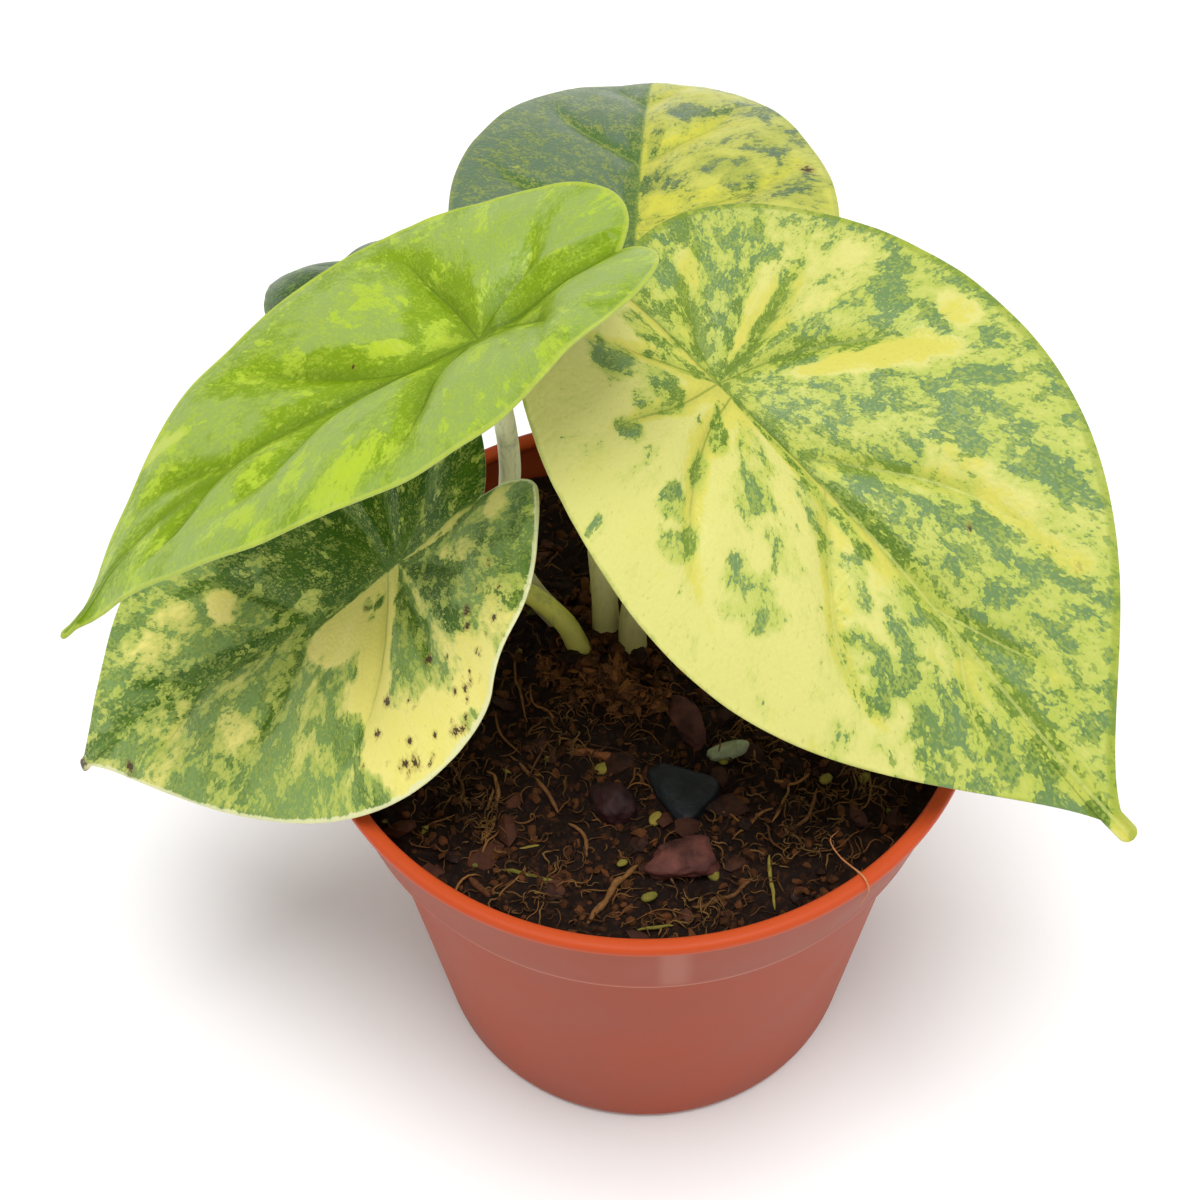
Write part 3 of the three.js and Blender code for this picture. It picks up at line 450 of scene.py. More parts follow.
def distance_to_line(points, line):
    """Distance from each flat point to a line of short straight pieces, the side it lies on and how
    far along the line its nearest point is."""
    a, step = line[:-1], np.diff(line, axis=0)
    from_a = points[:, None, :] - a
    t = np.clip((from_a * step).sum(-1) / (step ** 2).sum(-1), 0, 1)
    gap = from_a - t[..., None] * step
    far = (gap ** 2).sum(-1)
    k = far.argmin(1)
    pick = np.arange(len(points))
    side = step[k, 0] * gap[pick, k, 1] - step[k, 1] * gap[pick, k, 0]
    return np.sqrt(far[pick, k]), np.sign(side), (k + t[pick, k]) / len(step)


def vein_fields(name, flat):
    """For flat points in shares: the distance to the nearest side vein, with a sign that changes from
    each panel between veins to the next, and how far along that vein the point is."""
    signed = np.zeros(len(flat))
    along = np.zeros(len(flat))
    halves = VEINS.get(name, (PLAIN_VEINS, PLAIN_VEINS))
    for side, veins in enumerate(halves):
        here = flat[:, 0] >= 0 if side == 0 else flat[:, 0] < 0
        points = np.abs(flat[here] * [1, 0]) + flat[here] * [0, 1]
        nearest = np.full(len(points), 9.0)
        reach = np.zeros(len(points))
        panel = np.ones(len(points))
        for vein in veins:
            line = through_points(vein, VEIN_POINTS)
            ahead = line[-1] + (line[-1] - line[-2]) * VEIN_RUN_ON
            behind = line[0] - (line[1] - line[0]) * VEIN_RUN_ON
            gap, hand, place = distance_to_line(points, np.concatenate([[behind], line, [ahead]]))
            panel *= np.where(hand >= 0, 1, -1)
            closer = gap < nearest
            nearest = np.where(closer, gap, nearest)
            reach = np.where(closer, (place * (VEIN_POINTS + 1) - 1) / (VEIN_POINTS - 1), reach)
        signed[here] = nearest * panel
        along[here] = reach
    return signed, along


def bend_blade(leaf, x, y):
    """Bends flat points: the midrib droops, swings and twists along its length, and each half folds up
    from it and arches over; both lines are summed from their directions so that lengths are kept."""
    length = leaf["length"]
    h, p, r = (math.radians(leaf[key]) for key in ("heading", "pitch", "roll"))
    forward = np.array([math.cos(h) * math.cos(p), math.sin(h) * math.cos(p), -math.sin(p)])
    level = np.array([math.sin(h), -math.cos(h), 0])
    upright = np.cross(level, forward)
    side = level * math.cos(r) - upright * math.sin(r)
    normal = upright * math.cos(r) + level * math.sin(r)

    def frame_at(distance):
        u = distance / length
        upturn = leaf["flick"] * smoothstep(FLICK_START, 1, u)
        ahead = leaf["droop"] * u + leaf["tip_droop"] * u ** 4 - upturn
        bend = np.radians(np.where(u > 0, ahead, leaf["lobe_droop"] * u))
        swing = np.radians(leaf["swing"]) * u * u * np.sign(u)
        turn = np.radians(leaf["twist"]) * u
        cb, sb, cs, ss, ct, st = (f(a)[..., None] for a in (bend, swing, turn) for f in (np.cos, np.sin))
        ahead = forward * cs + side * ss
        along = ahead * cb - normal * sb
        over = normal * cb + ahead * sb
        across = side * cs - forward * ss
        return along, across * ct - over * st, over * ct + across * st

    steps = np.linspace(-0.5 * length, 1.02 * length, 900)
    middle = (steps[1:] + steps[:-1]) / 2
    spine = np.concatenate([np.zeros((1, 3)), np.cumsum(frame_at(middle)[0] * np.diff(steps)[:, None], 0)])
    at_y = [np.interp(y, steps, line) - np.interp(0, steps, line) for line in spine.T]
    out, rise = np.zeros_like(x), np.zeros_like(x)
    q = np.linspace(0, 0.75 * length, 500)
    for half in (0, 1):
        mid = (q[1:] + q[:-1]) / 2
        slope = math.radians(leaf["fold"][half]) * np.tanh(mid / (0.06 * length))
        slope -= math.radians(leaf["arch"][half]) * mid / (leaf["width"][half] * length)
        step = q[1] - q[0]
        run = np.concatenate([[0], np.cumsum(np.cos(slope)) * step])
        lift = np.concatenate([[0], np.cumsum(np.sin(slope)) * step])
        here = x >= 0 if half == 0 else x < 0
        out[here] = np.interp(np.abs(x[here]), q, run) * (1 if half == 0 else -1)
        rise[here] = np.interp(np.abs(x[here]), q, lift)
    _, across, over = frame_at(y)
    return np.array(leaf["foot"]) + np.stack(at_y, -1) + across * out[..., None] + over * rise[..., None]


def blade_normals(leaf, x, y):
    """Upward normals of the bent blade, from small steps across and along it."""
    step = 0.2
    across = bend_blade(leaf, x + step, y) - bend_blade(leaf, x - step, y)
    ahead = bend_blade(leaf, x, y + step) - bend_blade(leaf, x, y - step)
    return normalized(np.cross(across, ahead))


def paint_fields(name, flat):
    """The green, dark and silver fields of a blade: wedges between two rays and two distances from
    the stalk, laid over each other, with borders pushed about by noise at two sizes. A wedge that
    stands away from the midrib keeps to its own half of the blade."""
    fields = np.tile([0.5, 0.4, 0.4], (len(flat), 1))
    flat3 = np.column_stack([flat, np.full(len(flat), 0.37)])
    ragged = 0.3 * smooth_noise(flat3, 0.06, 11) + 0.28 * smooth_noise(flat3, 0.022, 12)
    angle, radius = np.arctan2(flat[:, 0], flat[:, 1]), np.hypot(flat[:, 0], flat[:, 1])
    for x, y, wide, long, *values in PATCHES[name]:
        away = math.hypot(x, y)
        off = (angle - math.atan2(x, y) + np.pi) % (2 * np.pi) - np.pi
        reach = (np.abs(off * away / wide) ** 2.6 + np.abs((radius - away) / long) ** 2.6) ** (1 / 2.6)
        own_half = smoothstep(-0.004, 0.004, flat[:, 0] * np.sign(x)) if abs(x) > 0.06 else 1
        weight = ((1 - smoothstep(0.6, 1.25, reach + ragged)) * own_half)[:, None]
        fields = fields * (1 - weight) + np.array(values) * weight
    return fields


def blade_relief(name, flat, reach, side_gap, along):
    """Three fields of a blade. The height of its middle above the bent sheet, in mm: a swell between the
    veins, lowered by a valley at each vein, plus noise, a wavy margin, local lifts and a fold. How
    near a vein is, from 0 to 1: a bell across a band that narrows outwards. And how far the ribs stand
    out below, in mm: a narrow bell across each vein."""
    leaf = BLADES[name]
    length = leaf["length"]
    x, y = (flat * length).T
    flat3 = np.column_stack([flat * length, np.full(len(flat), len(name) * 7.3)])
    fade = 1 - smoothstep(0.35, 1.0, along)
    # valleys: round at the top and sharp at the vein, deepest near the stalk, gone at the margin
    midrib = (0.5 * np.exp(-(np.abs(x) / 4.2) ** 2) + 0.5 * np.exp(-np.abs(x) / 1.6)) * (1 - 0.65 * reach)
    side = (0.5 * np.exp(-(side_gap / 4.0) ** 2) + 0.5 * np.exp(-side_gap / 1.5)) * fade
    swell = np.sin(np.pi * np.minimum(1, reach * 1.02) ** 0.9) ** 0.8
    height = leaf["relief"] * (1 - midrib) * (1 - 0.9 * side) * swell
    height += 0.25 * smooth_noise(flat3, 8.0, 5) * smoothstep(0, 0.15, reach)
    height += 0.07 * smooth_noise(flat3, 2.6, 6)
    height += 0.6 * smoothstep(0.7, 1, reach) * smooth_noise(flat3, 14.0, 8)
    for wave_x, wave_y, size, lift in WAVES.get(name, []):
        height += lift * np.exp(-((flat[:, 0] - wave_x) ** 2 + (flat[:, 1] - wave_y) ** 2) / size ** 2)
    if name in RIDGES:
        fold_gap = distance_to_line(flat, through_points(RIDGES[name], 40))[0] * length
        height += 1.3 * np.exp(-(fold_gap / 1.3) ** 1.4) * smoothstep(0.02, 0.15, reach)
    band = leaf["crease"] * (1 - 0.55 * reach)
    near = np.exp(-(np.abs(x) / (1.2 * band)) ** 1.6)
    near = np.maximum(near, 0.95 * np.exp(-(side_gap / band) ** 1.6) * fade)
    near = np.maximum(near, np.exp(-(np.hypot(x, y) / (2.4 * leaf["crease"])) ** 2))
    rib = MIDRIB_DEPTH * np.exp(-(x / 1.3) ** 2) * (1 - reach)
    rib = np.maximum(rib, 0.45 * np.exp(-(side_gap / 0.9) ** 2) * fade * (1 - reach ** 2))
    return height, near, rib


def make_blade(name, material):
    """A blade as a polar grid: spokes run from the stalk to the outline and rings are shares of them.
    The top is pushed up between the veins and creased along them, the underside carries raised ribs,
    and a rounded edge joins the two faces."""
    leaf = BLADES[name]
    length = leaf["length"]
    outline = np.concatenate([half_outline(leaf, 0), half_outline(leaf, 1)[1:-1][::-1]])
    spokes = len(outline)
    rings = RINGS if length > SMALL_BLADE else RINGS // 2
    reach = np.linspace(0, 1, rings + 1)[1:]
    flat = np.concatenate([[[0, 0]], (outline[None] * reach[:, None, None]).reshape(-1, 2)])
    reach = np.concatenate([[0], np.repeat(reach, spokes)])
    x, y = (flat * length).T
    signed, along = vein_fields(name, flat)
    side_gap = np.abs(signed) * length
    relief, near, rib = blade_relief(name, flat, reach, side_gap, along)
    normals = blade_normals(leaf, x, y)
    middle = bend_blade(leaf, x, y) + normals * relief[:, None]
    thick = (BLADE_MIDDLE + (BLADE_EDGE - BLADE_MIDDLE) * reach ** 2)[:, None]
    top = middle + normals * thick / 2
    bottom = middle - normals * (thick / 2 + rib[:, None])
    edge = slice(len(flat) - spokes, None)
    within = slice(len(flat) - 2 * spokes, len(flat) - spokes)
    outward = normalized(middle[edge] - middle[within])
    radius = BLADE_EDGE / 2
    rim = [middle[edge] + radius * (outward * math.cos(a) + normals[edge] * math.sin(a))
           for a in np.radians([50, 0, -50])]
    points = np.concatenate([top, bottom] + rim)
    shift, first = len(flat), 1 + (rings - 1) * spokes
    upper = [fan_faces(0, 1, spokes, flip=True), grid_faces(rings, spokes, 1)]
    lower = [block[:, ::-1] + shift for block in upper]
    rows = np.array([first, 2 * shift, 2 * shift + spokes, 2 * shift + 2 * spokes, shift + first])
    column = np.arange(spokes)
    after = (column + 1) % spokes
    round_edge = [np.stack([a + column, a + after, b + after, b + column], -1)
                  for a, b in zip(rows, rows[1:])]
    # the same fields on the top, the underside and the rounded edge
    every = np.concatenate([np.arange(shift), np.arange(shift)] + [np.arange(first, shift)] * 3)
    fields = paint_fields(name, flat)
    border = distance_to_line(flat, np.concatenate([outline, outline[:1]]))[0] * length
    border += np.where(x * leaf["rim_side"] < 0, RIM_OFF, 0.0)
    spots = np.zeros(len(flat))
    for sx, sy, size in SPECKS.get(name, []):
        spots = np.maximum(spots, 1 - np.hypot(flat[:, 0] - sx, flat[:, 1] - sy) / (2 * size))
    underside = np.concatenate([np.zeros(shift), np.ones(shift)] + [np.full(spokes, v) for v in (0, 0, 1)])
    attributes = {"green": fields[every, 0], "dark": fields[every, 1], "silver": fields[every, 2],
                  "side_vein": (signed * length)[every], "vein_reach": along[every],
                  "near_vein": near[every], "border": border[every], "speck": spots[every],
                  "underside": underside}
    add_piece(f"{name}_leaf", points, upper + lower + round_edge, material, [f"blade_{name}"],
              flat[every] * length / 100, attributes)


LEAF_FIELDS = ("green", "dark", "silver", "side_vein", "vein_reach", "near_vein", "border", "speck",
               "underside")
LEAF_GLOSS = 0.4
# Brown halo and dark middle of a speck, and the pale underside
SPECK_HALO, SPECK_MIDDLE, LEAF_BELOW = "8a6c26", "4a3714", "b4c193"


def leaf_material(name, colors, vein, rim, soft, patch_mm):
    """A fresh aroid leaf: a thick, waxy blade that lacks green in patches. Over the yellow lie a lime
    wash, an olive stipple and islands of full green with frayed borders, all drawn out along the rays
    from the stalk; air under the skin turns the green silvery away from the veins; wax gives a satin
    gloss. Painted shade darkens the vein lines near the stalk and the creases along the veins, where
    the grooves sink. colors: yellow near the veins, yellow elsewhere, lime, olive, silver and deep
    green. vein: the far colour of the vein lines, their strength, their near colour, which is painted
    shade, and the strength of the painted shade in the creases. rim: the margin's colour, strength and
    width in mm. soft: how soft the borders of the islands are."""
    material, add = new_material(name)
    yellow_near, yellow_far, lime, olive, silver, deep = (linear(color) for color in colors)
    vein_far, vein_strength, vein_groove_shade, crease_shade_strength = vein
    rim_color, rim_strength, rim_width = rim
    uv = add("UVMap", uv_map="surface")
    green, dark, silvery, side_vein, vein_reach, near_vein, border, speck, underside = (
        add("Field", attribute_name=field) for field in LEAF_FIELDS)
    # the map is in units of 100 mm; shrinking it with the 0.45th power of the distance from the stalk
    # draws patterns out along the rays and makes them finer towards the stalk
    away = add("Math", add("VectorMath", uv, out=1, operation="LENGTH"), 0.02, operation="MAXIMUM")
    shrink = add("Math", add("Times", away, 4.0), -0.45, operation="POWER")
    rays = add("VectorMath", {0: uv, "Scale": shrink}, operation="SCALE")

    def noise(size_mm, detail, offset, twist=0.0, rough=0.62):
        """The recurring recipe of a noise of a real size: a scale of 100 / size on this map."""
        moved = add("Mapping", rays, (offset, offset * 0.7, 0))
        return add("TexNoise", {"Vector": moved, "Scale": 100 / size_mm, "Detail": detail,
                                "Roughness": rough, "Distortion": twist})

    def total(start, *terms):
        """start plus each (value - 0.5) times its weight."""
        for value, weight in terms:
            start = add("Plus", start, add("TimesPlus", value, weight, -0.5 * weight))
        return start

    patch, cell = noise(patch_mm, 4, 0.3, 0.3), noise(2.2, 3, 5.1, 0.2)
    stipple, grain = noise(0.75, 2, 1.7, 0.0, 0.7), noise(0.36, 1, 2.9)
    # how far from a vein the green is silvery, and where the stipple, the islands, the wash and the
    # deep shade lie
    far = total(silvery, (noise(6, 2, 8.8), 1.8), (stipple, 0.8))
    far = add("Step", add("TimesPlus", near_vein, -1.4, far), -0.1, 0.65)
    speckle = add("Step", total(green, (patch, 5.5), (stipple, 4.0), (grain, 2.0)), 0.0, 0.3 * soft)
    speckle = add("Times", speckle, add("Step", green, -1.25, -0.3))
    islands = total(green, (patch, 7.0), (cell, 2.4), (stipple, 2.2))
    islands = add("Step", islands, 0.15, 0.15 + 0.22 * soft)
    wash = add("Step", total(green, (patch, 3.5), (stipple, 1.0)), -1.1, 0.3, 0.9)
    shade = total(dark, (cell, 2.4), (stipple, 1.8), (noise(8, 1, 4.4), 1.5))
    shade = add("Step", shade, 0.2, 1.0, 0.85)
    sparks = add("Step", total(grain, (cell, 1.2), (stipple, 1.0)), 0.45, 0.75, 0.55)
    thin = add("Step", total(grain, (cell, 1.2)), 0.35, 0.65, 0.8)
    yellow_place = add("Step", total(far, (noise(14, 1, 9.4), 1.5)), 0.1, 0.9)
    # a net of the finest veins, warped by a noise of 4 mm
    warp = add("TexNoise", {"Vector": rays, "Scale": 100 / 4, "Detail": 0}, out=1)
    warp = add("VectorMath", {0: warp, "Scale": 0.035}, operation="SCALE")
    net = add("TexVoronoi", {"Vector": add("VectorMath", rays, warp, operation="ADD"), "Scale": 100 / 4.6},
              voronoi_dimensions="2D", feature="DISTANCE_TO_EDGE")
    net = add("Step", net, 0.06, 0.0)
    # the midrib and the side veins as thin lines that fade outwards and turn darker near the stalk as
    # painted shade of the sunken groove, painted shade in the creases, the margin and the specks
    midrib = add("Step", add("Size", add("Times", add("SeparateXYZ", uv), 100.0)), 0.5, 0.15)
    side = add("Times", add("Step", add("Size", side_vein), 0.35, 0.08), add("Step", vein_reach, 0.95, 0.25))
    lines = total(add("Math", midrib, side, operation="MAXIMUM"), (stipple, 1.0))
    line_color = add("Blend", add("Step", away, 0.42, 0.12), linear(vein_far), linear(vein_groove_shade))
    crease = total(near_vein, (cell, 0.4))
    edge = total(border, (patch, 2.0), (stipple, 0.8))
    spot = total(speck, (stipple, 1.0), (grain, 0.8))
    # colours, each laid over the ones before it; the crease layer is painted shade
    silver_green = add("Blend", far, olive, silver)
    full = add("Blend", shade, silver_green, add("Blend", add("Times", far, 0.45), deep, silver))
    full = add("Blend", sparks, full, lime)
    color = add("Blend", yellow_place, yellow_near, yellow_far)
    for factor, layer in (
            (wash, lime),
            (add("Times", net, 0.06), lime),
            (add("Times", speckle, 0.75), add("Blend", thin, lime, silver_green)),
            (islands, full),
            (add("Step", crease, 0.55, 1.05, crease_shade_strength), linear(vein_groove_shade)),
            (add("Step", lines, 0.3, 0.9, vein_strength), line_color),
            (add("Step", edge, rim_width, rim_width * 0.4, rim_strength), linear(rim_color)),
            (add("Step", spot, 0.1, 0.5, 0.35), linear(SPECK_HALO)),
            (add("Step", spot, 0.45, 0.7), linear(SPECK_MIDDLE)),
            (add("Times", underside, 0.5), linear(LEAF_BELOW))):
        color = add("Blend", factor, color, layer)
    # satin wax, duller below; the skin is finely pebbled
    rough = add("Range", noise(5, 1, 3.3), 0.3, 0.7, LEAF_GLOSS - 0.05, LEAF_GLOSS + 0.07)
    rough = add("TimesPlus", underside, 0.2, rough)
    pebbles = add("TexVoronoi", {"Vector": uv, "Scale": 100 / 0.9}, voronoi_dimensions="2D")
    bump = add("Bump", {"Strength": 0.5, "Distance": 0.14 * MM, "Height": total(pebbles, (stipple, 1.5))},
               invert=True)
    skin = add("BsdfPrincipled", {
        "Base Color": color, "Roughness": rough, "Normal": bump, "IOR": 1.42, "Specular IOR Level": 0.34,
        "Subsurface Weight": 0.08, "Subsurface Radius": (0.8, 1.0, 0.3), "Subsurface Scale": 2 * MM})
    add("OutputMaterial", skin)
    return material


# Pot: moulded plastic

POT_OUTSIDE = [
    (39.5, 0), (40.6, 0.2), (41.3, 0.7), (41.8, 1.5), (42, 2.5), (51.7, 72.6), (51.85, 73.1), (52.2, 73.5),
    (52.7, 73.7), (54.3, 74.6), (54.8, 75.0), (55.05, 75.6), (55.25, 76.6), (59.3, 93.3), (59.4, 93.8),
    (59.75, 94.0), (60, 94.4), (60.05, 94.9), (59.95, 95.5), (59.6, 95.85), (59.1, 96), (58.1, 96),
    (57.6, 95.85), (57.25, 95.4), (57.2, 94.8), (57.3, 94.1),
]
POT_INSIDE = [(58.35, 92.8), (58.3, 92), (53.9, 76.6), (53.6, 76.0), (51.2, 73.9), (50.8, 73.2), (41.2, 4.2),
              (40.9, 2.9), (40.3, 2.0), (39.5, 1.6)]
POT_SIDES = 240
# Drain holes: their number, their radius and how far from the pot's axis they lie
DRAIN_HOLES = 6
DRAIN_RADIUS = 4.0
DRAIN_CIRCLE = 27.0
# The pot's floor: its thickness, its radius and the radius of the disc in its middle
FLOOR = 1.6
FLOOR_RADIUS = 39.5
FLOOR_DISC = 12


def refine_profile(profile, longest):
    """Adds points to a profile so that no stretch is longer than longest."""
    profile = np.asarray(profile, float)
    parts = [profile[:1]]
    for a, b in zip(profile, profile[1:]):
        count = max(1, math.ceil(np.hypot(*(b - a)) / longest))
        parts.append(a + (b - a) * (np.arange(1, count + 1) / count)[:, None])
    return np.concatenate(parts)


def floor_face(level):
    """One face of the pot's floor: round each drain hole a grid from the hole to the edge of its
    sixth of the floor, and a small disc of triangles in the middle. Gives the points, the faces, and
    how many points lie on such an edge and on such a grid."""
    turn = np.arange(POT_SIDES // DRAIN_HOLES + 1) / (POT_SIDES // DRAIN_HOLES) - 0.5
    sector = 2 * np.pi / DRAIN_HOLES
    arc = np.stack([np.cos(turn * sector), np.sin(turn * sector)], -1)
    outer_arc, inner_arc = FLOOR_RADIUS * arc, FLOOR_DISC * arc[::-1]
    share = np.linspace(0, 1, 12)[1:-1, None]
    border = np.concatenate([outer_arc, outer_arc[-1] + (inner_arc[0] - outer_arc[-1]) * share,
                             inner_arc, inner_arc[-1] + (outer_arc[0] - inner_arc[-1]) * share])
    from_hole = border - [DRAIN_CIRCLE, 0]
    hole = [DRAIN_CIRCLE, 0] + DRAIN_RADIUS * normalized(from_hole)
    rows = np.array([hole + (border - hole) * t for t in (0, 0.25, 0.6, 1)])
    block = rows.size // 2
    points, faces = [], []
    for k in range(DRAIN_HOLES):
        c, s = math.cos(k * sector), math.sin(k * sector)
        turned = rows @ np.array([[c, s], [-s, c]])
        faces.append(grid_faces(4, len(border), len(points) * block)[:, ::-1])
        points.append(turned.reshape(-1, 2))
    flat = np.concatenate(points)
    ring = [k * block + 3 * len(border) + len(outer_arc) + len(share) + j
            for k in range(DRAIN_HOLES) for j in range(len(turn) - 1, 0, -1)]
    middle = len(flat)
    flat = np.concatenate([flat, [[0, 0]]])
    ring = np.array(ring)
    faces.append(np.stack([np.full(len(ring), middle), ring, np.roll(ring, -1)], -1))
    return np.column_stack([flat, np.full(len(flat), level)]), faces, len(border), block


def make_pot(material):
    """The pot turned about Z from its profile, with a flat floor that has six drain holes."""
    profile = np.concatenate([refine_profile(POT_OUTSIDE, 6), refine_profile(POT_INSIDE, 6)])
    # the profile starts half a step round so that its points meet those of the floor
    angle = (np.arange(POT_SIDES) / POT_SIDES - 0.5 / DRAIN_HOLES) * 2 * np.pi
    ring = np.stack([np.cos(angle), np.sin(angle)], -1)
    level = np.broadcast_to(profile[:, None, 1:], (len(profile), POT_SIDES, 1))
    wall = np.concatenate([profile[:, None, :1] * ring, level], -1).reshape(-1, 3)
    under, faces, border, block = floor_face(0.0)
    shift = len(wall)
    points = np.concatenate([wall, under, under + [0, 0, FLOOR]])
    blocks = [grid_faces(len(profile), POT_SIDES)]
    blocks += [face[:, ::-1] + shift for face in faces]
    blocks += [face + shift + len(under) for face in faces]
    column = np.arange(border)
    after = (column + 1) % border
    for k in range(DRAIN_HOLES):
        low, high = shift + k * block, shift + len(under) + k * block
        blocks.append(np.stack([low + column, high + column, high + after, low + after], -1))
    weld(add_piece("pot_shell", points, blocks, material, ["pot"]))


def weld(piece):
    """Merges points that share a place and turns all faces outward."""
    mesh = bmesh.new()
    mesh.from_mesh(piece.data)
    bmesh.ops.remove_doubles(mesh, verts=mesh.verts, dist=0.002 * MM)
    bmesh.ops.recalc_face_normals(mesh, faces=mesh.faces)
    mesh.to_mesh(piece.data)
    mesh.free()


def pot_material():
    """Terracotta-coloured polypropylene, injection moulded: an even satin skin with a very fine grain.
    The thick lip is painted a brighter orange, a painted glow standing in for light shining through it,
    and the plastic is paler in a thin band at the collar's foot and in a narrow upright strip on the collar."""
    material, add = new_material("moulded_terracotta_polypropylene")
    place = add("Place")
    side, height = (add("SeparateXYZ", place, out=axis) for axis in (0, 2))
    # per metre: clouds of 22 mm, and a grain of 1.4 mm
    cloud = add("TexNoise", {"Vector": place, "Scale": 45, "Detail": 2})
    fine = add("TexNoise", {"Vector": place, "Scale": 700, "Detail": 1})
    color = add("Blend", add("Step", cloud, 0.3, 0.7), linear("983c1c"), linear("a04222"))
    collar = add("Step", height, 75.2 * MM, 77.5 * MM)
    # a thin pale band at the collar's foot, and a narrow upright pale strip on the upper wall
    foot = add("Times", add("Step", height, 73.8 * MM, 74.8 * MM), add("Step", height, 76.2 * MM, 75.2 * MM))
    pale_strip = add("Times", add("Step", side, 1.5 * MM, 4 * MM), add("Step", side, 9 * MM, 6 * MM))
    pale_strip = add("Times", pale_strip, add("Step", height, 75 * MM, 78 * MM))
    # painted glow: the lip a brighter orange, standing in for light shining through the thick plastic
    lip = add("Step", height, 93.2 * MM, 94.2 * MM)
    for factor, layer in ((collar, add("Blend", 0.3, color, linear("7e3418"))),
                          (add("Times", foot, 0.4), linear("c99a86")),
                          (add("Times", pale_strip, 0.16), linear("d8a894")),
                          (lip, linear("c04a1e"))):
        color = add("Blend", factor, color, layer)
    rough = add("Range", cloud, 0.3, 0.7, 0.42, 0.52)
    bump = add("Bump", {"Strength": 0.2, "Distance": 0.06 * MM, "Height": fine})
    skin = add("BsdfPrincipled", {
        "Base Color": color, "Roughness": rough, "Normal": bump, "IOR": 1.49, "Specular IOR Level": 0.2,
        "Subsurface Weight": 0.05, "Subsurface Radius": (1.0, 0.4, 0.2), "Subsurface Scale": 1.5 * MM})
    add("OutputMaterial", skin)
    return material


# Potting mix

MIX_LEVEL = 86.5
MIX_RADIUS = 55.8
# How far out from the pot's axis a fibre may lie
MIX_REACH = 54.5
CROWN = dict(x=-6.4, y=9.4, top=89.8, radius=12.2)


def mix_level(x, y):
    """Height of the mix in the solid: a low mound at the crown with smooth lumps on it."""
    mound = 2.2 * np.exp(-(np.hypot(x - CROWN["x"], y - CROWN["y"]) / 26) ** 2)
    lumps = np.sin(x * 0.31 + 1.3) * np.cos(y * 0.27 - 0.4)
    lumps += 0.6 * np.sin(x * 0.53 - y * 0.47) + 0.5 * np.cos(x * 0.83 + y * 0.71 + 2)
    return MIX_LEVEL + mound + 0.66 * lumps


def crumbly_level(x, y):
    """The level with clods and crumbs: ridged noise at three sizes on top of the smooth lumps."""
    place = np.stack([x, y, np.zeros_like(x)], -1)
    clods = 0.9 - 2.2 * np.abs(smooth_noise(place, 7.5, 21))
    crumbs = 0.6 - 1.5 * np.abs(smooth_noise(place, 3.1, 22))
    grains = 0.35 * smooth_noise(place, 1.3, 23)
    return mix_level(x, y) + 0.75 * clods + 0.6 * crumbs + grains


def ground(x, y):
    """Height that loose bits lie on: the crumbly mix, or the top of the crown where the crown is."""
    level = crumbly_level(x, y)
    on_crown = np.hypot(x - CROWN["x"], y - CROWN["y"]) < CROWN["radius"] * 0.86
    return np.where(on_crown, np.maximum(level, CROWN["top"] + 0.1), level)


def make_mix(material):
    """The mix as a fine crumbly disc that runs out to the wall, with its side and underside closed."""
    sides, rings = 360, 120
    angle = circle(sides)
    radius = np.linspace(0, MIX_RADIUS, rings + 1)[1:]
    x = radius[:, None] * np.cos(angle)
    y = radius[:, None] * np.sin(angle)
    z = crumbly_level(x, y)
    sunk = 2.2 * smoothstep(52.5, MIX_RADIUS, np.hypot(x, y))
    z = z - sunk * (0.6 + 0.4 * np.sin(angle * 5 + 1))
    rows = [np.stack([x, y, z], -1)]
    for r, level in [(53.4, 76.3), (50.5, 73.7), (40.8, 3.9), (39.5, 1.9)]:
        rows.append(np.stack([r * np.cos(angle), r * np.sin(angle), np.full(sides, level)], -1)[None])
    grid = np.concatenate(rows).reshape(-1, 3)
    points = np.concatenate([grid, [[0, 0, crumbly_level(np.zeros(1), np.zeros(1))[0]], [0, 0, 1.9]]])
    faces = [block[:, ::-1] for block in closed_faces(rings + 4, sides)]
    add_piece("peat_bed", points, faces, material, ["potting_mix"])


def blob_shape(seed):
    """A small lump of 18 points and 32 triangles: an octahedron split once and pushed about."""
    axes = np.array([[1, 0, 0], [-1, 0, 0], [0, 1, 0], [0, -1, 0], [0, 0, 1], [0, 0, -1]], float)
    faces = [(0, 2, 4), (2, 1, 4), (1, 3, 4), (3, 0, 4), (2, 0, 5), (1, 2, 5), (3, 1, 5), (0, 3, 5)]
    points, middle, small = axes.tolist(), {}, []
    for a, b, c in faces:
        mids = []
        for pair in ((a, b), (b, c), (c, a)):
            key = tuple(sorted(pair))
            if key not in middle:
                middle[key] = len(points)
                points.append(((axes[key[0]] + axes[key[1]]) / math.sqrt(2)).tolist())
            mids.append(middle[key])
        ab, bc, ca = mids
        small += [(a, ab, ca), (ab, b, bc), (ca, bc, c), (ab, bc, ca)]
    points = np.array(points)
    points *= 1 + 0.3 * np.random.default_rng(seed).uniform(-1, 1, (len(points), 1))
    return points, np.array(small)


def turns(angles):
    """Rotation matrices for rows of angles about X, Y and Z."""
    cx, cy, cz = np.cos(angles).T
    sx, sy, sz = np.sin(angles).T
    rows = [[cy * cz, sx * sy * cz - cx * sz, cx * sy * cz + sx * sz],
            [cy * sz, sx * sy * sz + cx * cz, cx * sy * sz - sx * cz],
            [-sy, sx * cy, cx * cy]]
    return np.moveaxis(np.array(rows), -1, 0)


